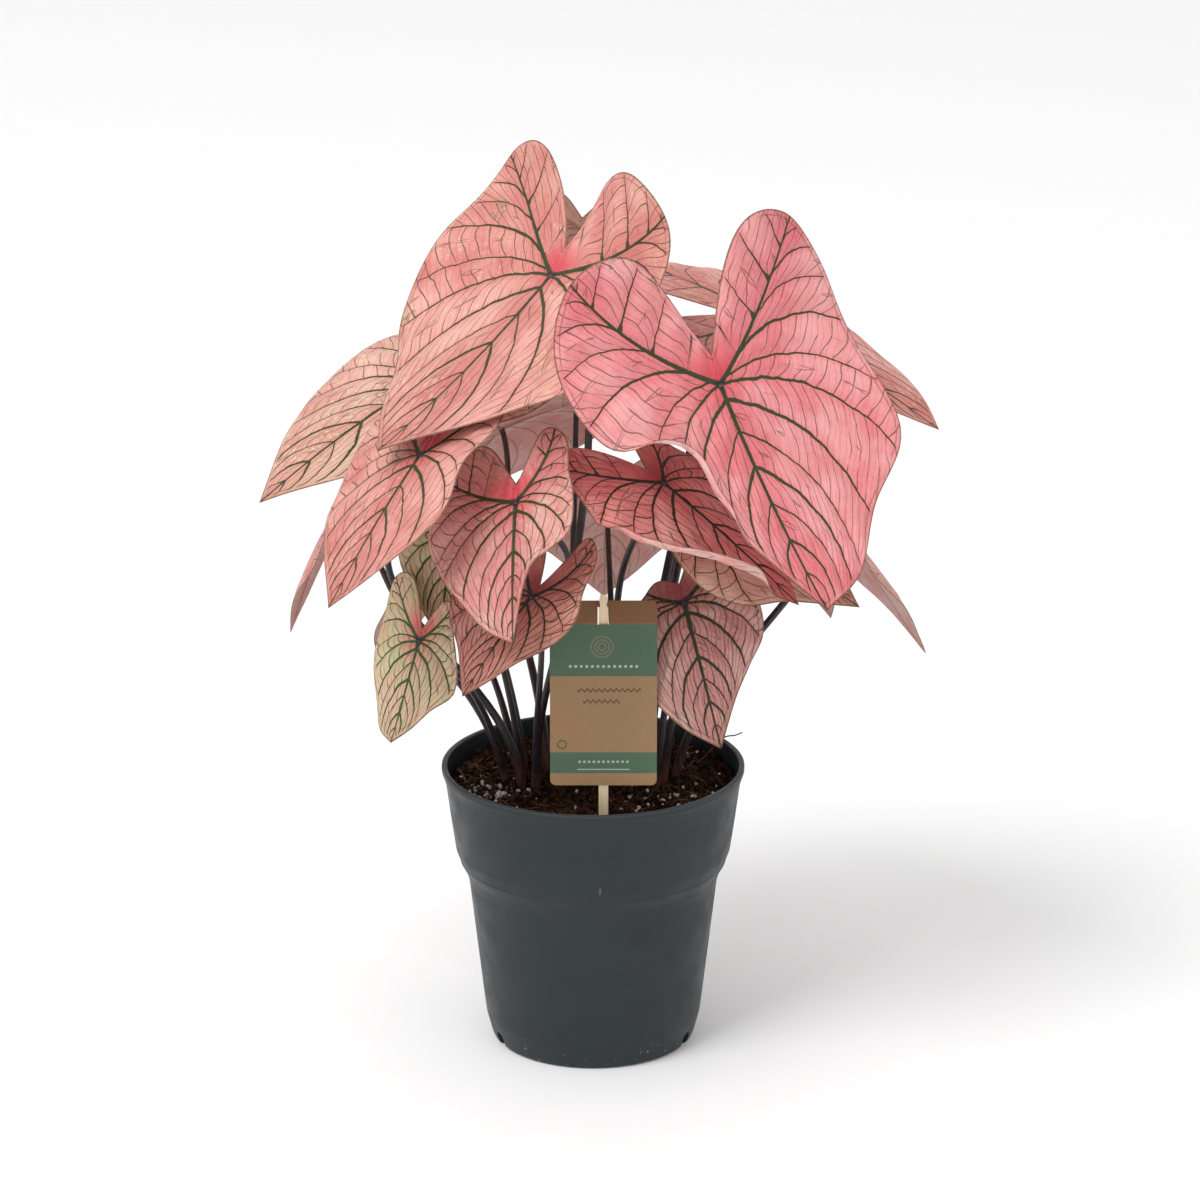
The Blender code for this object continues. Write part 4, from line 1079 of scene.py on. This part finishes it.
pot = make_pot(pot_finish)
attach(pot, "root")
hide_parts("nursery_pot")
print("pot faces:", len(pot.data.polygons))

# %% [markdown]
# ## The soil
#
# Potting mix is dark peat in soft crumbs, with brown coir fibres and white grains of perlite.
# The CAD soil fills the pot and holds the stems. What the eye sees is only its top, so a crumbly
# sheet lies on it, and loose crumbs, grains and fibres lie on the sheet. A particle system
# would scatter them too, but the export drops it, so their places are drawn here from one seed.

# %% Soil height
SOIL_TOP = 115.2
SOIL_BUMPS = ((1.3, 17.0, 1), (0.9, 5.5, 2), (0.55, 2.1, 3))
NET_KNOTS = 80


def value_noise(x, y, cell, seed):
    """Random heights from -1 to 1 on a square net, joined by smooth steps between its knots."""
    rng = np.random.default_rng(seed)
    net = rng.uniform(-1, 1, (NET_KNOTS, NET_KNOTS))
    u, v = x / cell + 40.37, y / cell + 40.61
    i, j = (np.floor(w).astype(int) % (NET_KNOTS - 1) for w in (u, v))
    a, b = u - np.floor(u), v - np.floor(v)
    a, b = a * a * (3 - 2 * a), b * b * (3 - 2 * b)
    low = net[i, j] * (1 - a) + net[i + 1, j] * a
    high = net[i, j + 1] * (1 - a) + net[i + 1, j + 1] * a
    return low * (1 - b) + high * b


def soil_height(x, y):
    """Three sizes of bump on the soil's level: heaps, lumps and crumbs."""
    bumps = (tall * value_noise(x, y, cell, seed) for tall, cell, seed in SOIL_BUMPS)
    return sum(bumps, SOIL_TOP)


SHEET_RINGS, SHEET_SEGMENTS = 84, 230
SHEET_REACH, SHEET_BOTTOM = 61.3, 111.5


def crumb_sheet():
    """A round net of points lifted to the soil's height, closed by a skirt and a flat bottom."""
    rings, segments = SHEET_RINGS, SHEET_SEGMENTS
    radius = SHEET_REACH * np.linspace(1 / rings, 1, rings)
    top = turned(np.stack([radius, 0 * radius], axis=1), segments)
    top[:, 2] = soil_height(*top.T[:2])
    skirt = top[-segments:] * (1, 1, 0) + (0, 0, SHEET_BOTTOM)
    middle = float(soil_height(np.zeros(1), np.zeros(1))[0])
    points = np.vstack([top, skirt, [(0, 0, middle), (0, 0, SHEET_BOTTOM)]])
    centre, bottom, last = len(points) - 2, len(points) - 1, rings * segments
    k = np.arange(segments)
    after = (k + 1) % segments
    faces = [face[::-1] for face in turned_faces(rings + 1, segments, False)]
    faces += np.stack([np.full(segments, centre), k, after], axis=1).tolist()
    faces += np.stack([np.full(segments, bottom), last + after, last + k], axis=1).tolist()
    return points, faces


# %% Scattered lumps and fibres
SCATTER_REACH = 60.0
FIBRE_POINTS, FIBRE_SIDES, FIBRE_LIFT = 9, 5, 0.3
GOLD = (1 + 5 ** 0.5) / 2
ICO_POINTS = np.array([(-1, GOLD, 0), (1, GOLD, 0), (-1, -GOLD, 0), (1, -GOLD, 0), (0, -1, GOLD),
                       (0, 1, GOLD), (0, -1, -GOLD), (0, 1, -GOLD), (GOLD, 0, -1), (GOLD, 0, 1),
                       (-GOLD, 0, -1), (-GOLD, 0, 1)]) / (1 + GOLD ** 2) ** 0.5
ICO_FACES = np.array([(0, 11, 5), (0, 5, 1), (0, 1, 7), (0, 7, 10), (0, 10, 11), (1, 5, 9),
                      (5, 11, 4), (11, 10, 2), (10, 7, 6), (7, 1, 8), (3, 9, 4), (3, 4, 2),
                      (3, 2, 6), (3, 6, 8), (3, 8, 9), (4, 9, 5), (2, 4, 11), (6, 2, 10),
                      (8, 6, 7), (9, 8, 1)])


def scatter(count, rng, reach=SCATTER_REACH):
    """Places spread evenly over the round top."""
    radius, angle = reach * np.sqrt(rng.uniform(0, 1, count)), rng.uniform(0, 2 * np.pi, count)
    return radius * np.cos(angle), radius * np.sin(angle)


def lumps(x, y, size, rng, sink):
    """A dented twenty-sided grain at each place: every corner is pulled in or out by chance, and
    each grain is squashed and turned."""
    count = len(x)
    dent = rng.uniform(0.7, 1.2, (count, 12, 1))
    squash = rng.uniform(0.6, 1.15, (count, 1, 3))
    turn = rng.uniform(0, 2 * np.pi, (count, 1))
    sx, sy, sz = np.moveaxis(ICO_POINTS * dent * squash * size[:, None, None], 2, 0)
    px = sx * np.cos(turn) - sy * np.sin(turn) + x[:, None]
    py = sx * np.sin(turn) + sy * np.cos(turn) + y[:, None]
    pz = sz + (soil_height(x, y) + size * (1 - 2 * sink))[:, None]
    faces = ICO_FACES + 12 * np.arange(count)[:, None, None]
    return np.stack([px, py, pz], axis=2).reshape(-1, 3), faces.reshape(-1, 3).tolist()


def fibres(x, y, length, thickness, rng):
    """Thin bent tubes that lie on the soil: each is an arc with a slight wave, its ends lifted."""
    parts = []
    t = np.linspace(-0.5, 0.5, FIBRE_POINTS)
    for px, py, long, thick in zip(x, y, length, thickness):
        heading, curve = rng.uniform(0, 2 * np.pi), rng.uniform(-1.6, 1.6)
        bearing = heading + curve * t + 0.25 * np.sin(9 * t + heading)
        step = long / (FIBRE_POINTS - 1) * np.stack([np.cos(bearing), np.sin(bearing)], axis=1)
        line = np.cumsum(step, axis=0) - step.sum(0) / 2 + (px, py)
        line = line * np.minimum(1, SCATTER_REACH / np.maximum(np.hypot(*line.T), TINY))[:, None]
        rise = FIBRE_LIFT + rng.uniform(0, 2.5) * (2 * t) ** 2 * (t * rng.choice((-1, 1)) > 0)
        route = np.column_stack([line, soil_height(*line.T) + rise + thick])
        parts.append(tube(route, thick * (1 - 1.2 * t ** 2), FIBRE_SIDES))
    return joined(parts)


# %% Soil finishes
def make_speckled(name, dark, light, scale, roughness, depth):
    """A two-tone finish: noise picks the tone and lifts the surface."""
    material, shader, _, place = finish(name, Roughness=roughness, Specular_IOR_Level=0.12)
    tone = band(noise(place, scale, 4.0, 0.7), 0.35, 0.68)
    feed_all(shader, Base_Color=mix(tone, dark, light),
             Normal=bumped(noise(place, scale * 2.2, 4.0, 0.7), 0.8, depth))
    return material


SPECKLED = {name: make_speckled(name, *values) for name, values in {
    "peat": ((0.004, 0.0025, 0.002), (0.04, 0.018, 0.009), 380.0, 0.92, 0.0015),
    "peat_crumb": ((0.006, 0.0035, 0.0025), (0.07, 0.030, 0.014), 300.0, 0.9, 0.001),
    "perlite": ((0.42, 0.38, 0.33), (0.80, 0.77, 0.72), 900.0, 0.8, 0.0006),
    "root_skin": ((0.03, 0.018, 0.014), (0.10, 0.06, 0.04), 500.0, 0.7, 0.0003),
    "coir": ((0.07, 0.028, 0.012), (0.26, 0.13, 0.06), 500.0, 0.8, 0.0003),
    "tuber_skin": ((0.10, 0.05, 0.03), (0.24, 0.15, 0.09), 220.0, 0.8, 0.001),
}.items()}


def add_soil_piece(name, shape, skin, smooth):
    """A soil piece that rides on the pot."""
    piece = put_mesh(name, *shape, [SPECKLED[skin]], smooth)
    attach(piece, "root")
    return piece


# %% Lay the soil
CRUMBS, GRAINS, FIBRES = 1500, 110, 170
GRAIN_REACH, FIBRE_REACH = 59, 56
ROOT_KNOTS = ((41, 14, 115.5), (48, 20, 119), (54, 27, 123.5), (58, 30, 125.2), (61.5, 31, 125.2),
              (65, 32, 126.3))
ROOT_POINTS = 18
rng = np.random.default_rng(20)
sheet_piece = add_soil_piece("soil_sheet", crumb_sheet(), "peat", 80)
x, y = scatter(CRUMBS, rng)
crumb_sizes = rng.uniform(0.5, 1.0, CRUMBS) ** 2 * 2.5
add_soil_piece("soil_crumbs", lumps(x, y, crumb_sizes, rng, 0.3), "peat_crumb", 50)
x, y = scatter(GRAINS, rng)
near_x, near_y = rng.normal(-44, 7, 75), rng.normal(-18, 9, 75)
far_x, far_y = rng.normal(38, 9, 30), rng.normal(-14, 12, 30)
x, y = np.concatenate([x, near_x, far_x]), np.concatenate([y, near_y, far_y])
inside = np.hypot(x, y) < GRAIN_REACH
x, y = x[inside], y[inside]
grains = lumps(x, y, rng.uniform(0.45, 1.4, len(x)), rng, 0.1)
add_soil_piece("perlite_grains", grains, "perlite", 45)
x, y = scatter(FIBRES, rng, FIBRE_REACH)
strands = fibres(x, y, rng.uniform(6, 26, FIBRES), rng.uniform(0.12, 0.36, FIBRES), rng)
add_soil_piece("coir_fibres", strands, "coir", 60)
root_line = smooth_curve(ROOT_KNOTS, ROOT_POINTS)
root = tube(root_line, np.linspace(0.5, 0.25, ROOT_POINTS), 6)
add_soil_piece("root_fibre", root, "root_skin", 60)
print("soil pieces made; sheet faces:", len(sheet_piece.data.polygons))

# %% [markdown]
# ## The label, its stake and the hidden tubers
#
# The label is kraft card, printed in a flat green with small plain marks, and folded back at the
# top. Its stake is a strip of pale wood. Both have the right shape in the CAD model already, so
# they stay, and only get a finish. The print is drawn from the height and width on the card:
# bands, rings, waves and rows of dots are each a few Math nodes, and need no picture.

# %% Card finish
def within(value, low, high, soft=0.06):
    """1 between low and high, with soft ends."""
    return band(value, low - soft, low + soft) * near(value, high - soft, high + soft)


def span_from(x, z, centre_x, centre_z):
    """Distance on the card from a centre."""
    across, up = x - centre_x, z - centre_z
    return maths("SQRT", across * across + up * up)


def rings(distance, pitch, thin, thick):
    """Thin circles, one every pitch."""
    return near(maths("PINGPONG", distance / pitch, 0.5), thin, thick)


def dots(x, z, height, pitch, size, reach):
    """A row of round dots at a height, out to a reach on both sides."""
    across = maths("PINGPONG", x / pitch, 0.5) * pitch
    dot = near(span_from(across, z, 0.0, height), size - 0.08, size + 0.08)
    return dot * within(x, -reach, reach)


CARD_X, CARD_FRONT, CARD_FOLD = 4.4, -50.1, 203.5
card_finish, shader, _, place = finish("printed_card", Roughness=0.75, Specular_IOR_Level=0.3)
x, y, z = (axis(place, name) * 1000.0 for name in "XYZ")
x = x - CARD_X
pulp = noise(place, 800.0, 4.0, 0.7)
kraft = mix(pulp, (0.24, 0.145, 0.07), (0.34, 0.22, 0.115))
# painted shade: the folded-back top of the card, above the fold, gets a darker kraft
flap_painted_shade = mix(pulp, (0.19, 0.10, 0.05), (0.26, 0.145, 0.07))
green = mix(pulp, (0.060, 0.108, 0.068), (0.092, 0.150, 0.098))
front = near(y, CARD_FRONT - 0.05, CARD_FRONT + 0.05)
bands = within(z, 180.7, CARD_FOLD) | within(z, 137.8, 147.1)
seal_distance = span_from(x, z, -0.6, 193.6)
seal = rings(seal_distance, 1.5, 0.1, 0.2) * within(seal_distance, 0.6, 5.4)
pale_rows = (dots(x, z, 185.0, 2.3, 0.62, 15) | dots(x, z, 142.9, 2.0, 0.55, 10.5)
             | within(z, 139.3, 139.7) * within(x, -11, 11))
stroke = z - maths("SINE", x * 2.6) * 0.55
strokes = (within(stroke, 174.1, 174.9) * within(x, -11, 15.6)
           | within(stroke, 169.2, 170.0) * within(x, -8.5, 7))
ripple = span_from(x, z, -22.3, 152.5)
ripples = (rings(ripple, 2.2, 0.07, 0.16) * within(ripple, 1.5, 15.8)
           * within(z, 147.6, 180.0))
small_ring = within(span_from(x, z, -17.3, 150.5), 1.5, 2.1)
# above the fold the card takes the darker painted-shade kraft
colour = coats(mix(band(z, CARD_FOLD - 0.2, CARD_FOLD + 0.2), kraft, flap_painted_shade),
               (front * bands, green), (seal * front * 0.6, (0.30, 0.20, 0.15)),
               (front * pale_rows * band(pulp, 0.2, 0.5, 0.55, 0.8), (0.50, 0.55, 0.47)),
               (front * strokes, (0.11, 0.06, 0.03)),
               (ripples * front * 0.7, (0.40, 0.14, 0.075)),
               (small_ring * front, (0.06, 0.11, 0.045)))
feed_all(shader, Base_Color=colour, Normal=bumped(pulp, 0.25, 0.0002))

# %% Wood finish
wood_finish, shader, _, place = finish("pale_wood", Roughness=0.55)
lines = noise(drawn_out(place, 0.05), 1400.0, 3.0)
feed_all(shader, Base_Color=mix(lines, (0.60, 0.45, 0.26), (0.86, 0.74, 0.52)),
         Normal=bumped(lines, 0.3, 0.0002))

# %% Finishes on the CAD pieces
for node, material in (("label_card", card_finish), ("label_stake", wood_finish),
                       ("soil", SPECKLED["peat"]), ("tuber_left", SPECKLED["tuber_skin"]),
                       ("tuber_right", SPECKLED["tuber_skin"])):
    for place_in_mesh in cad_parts[node].material_slots:
        place_in_mesh.material = material
print("finishes on CAD pieces made")
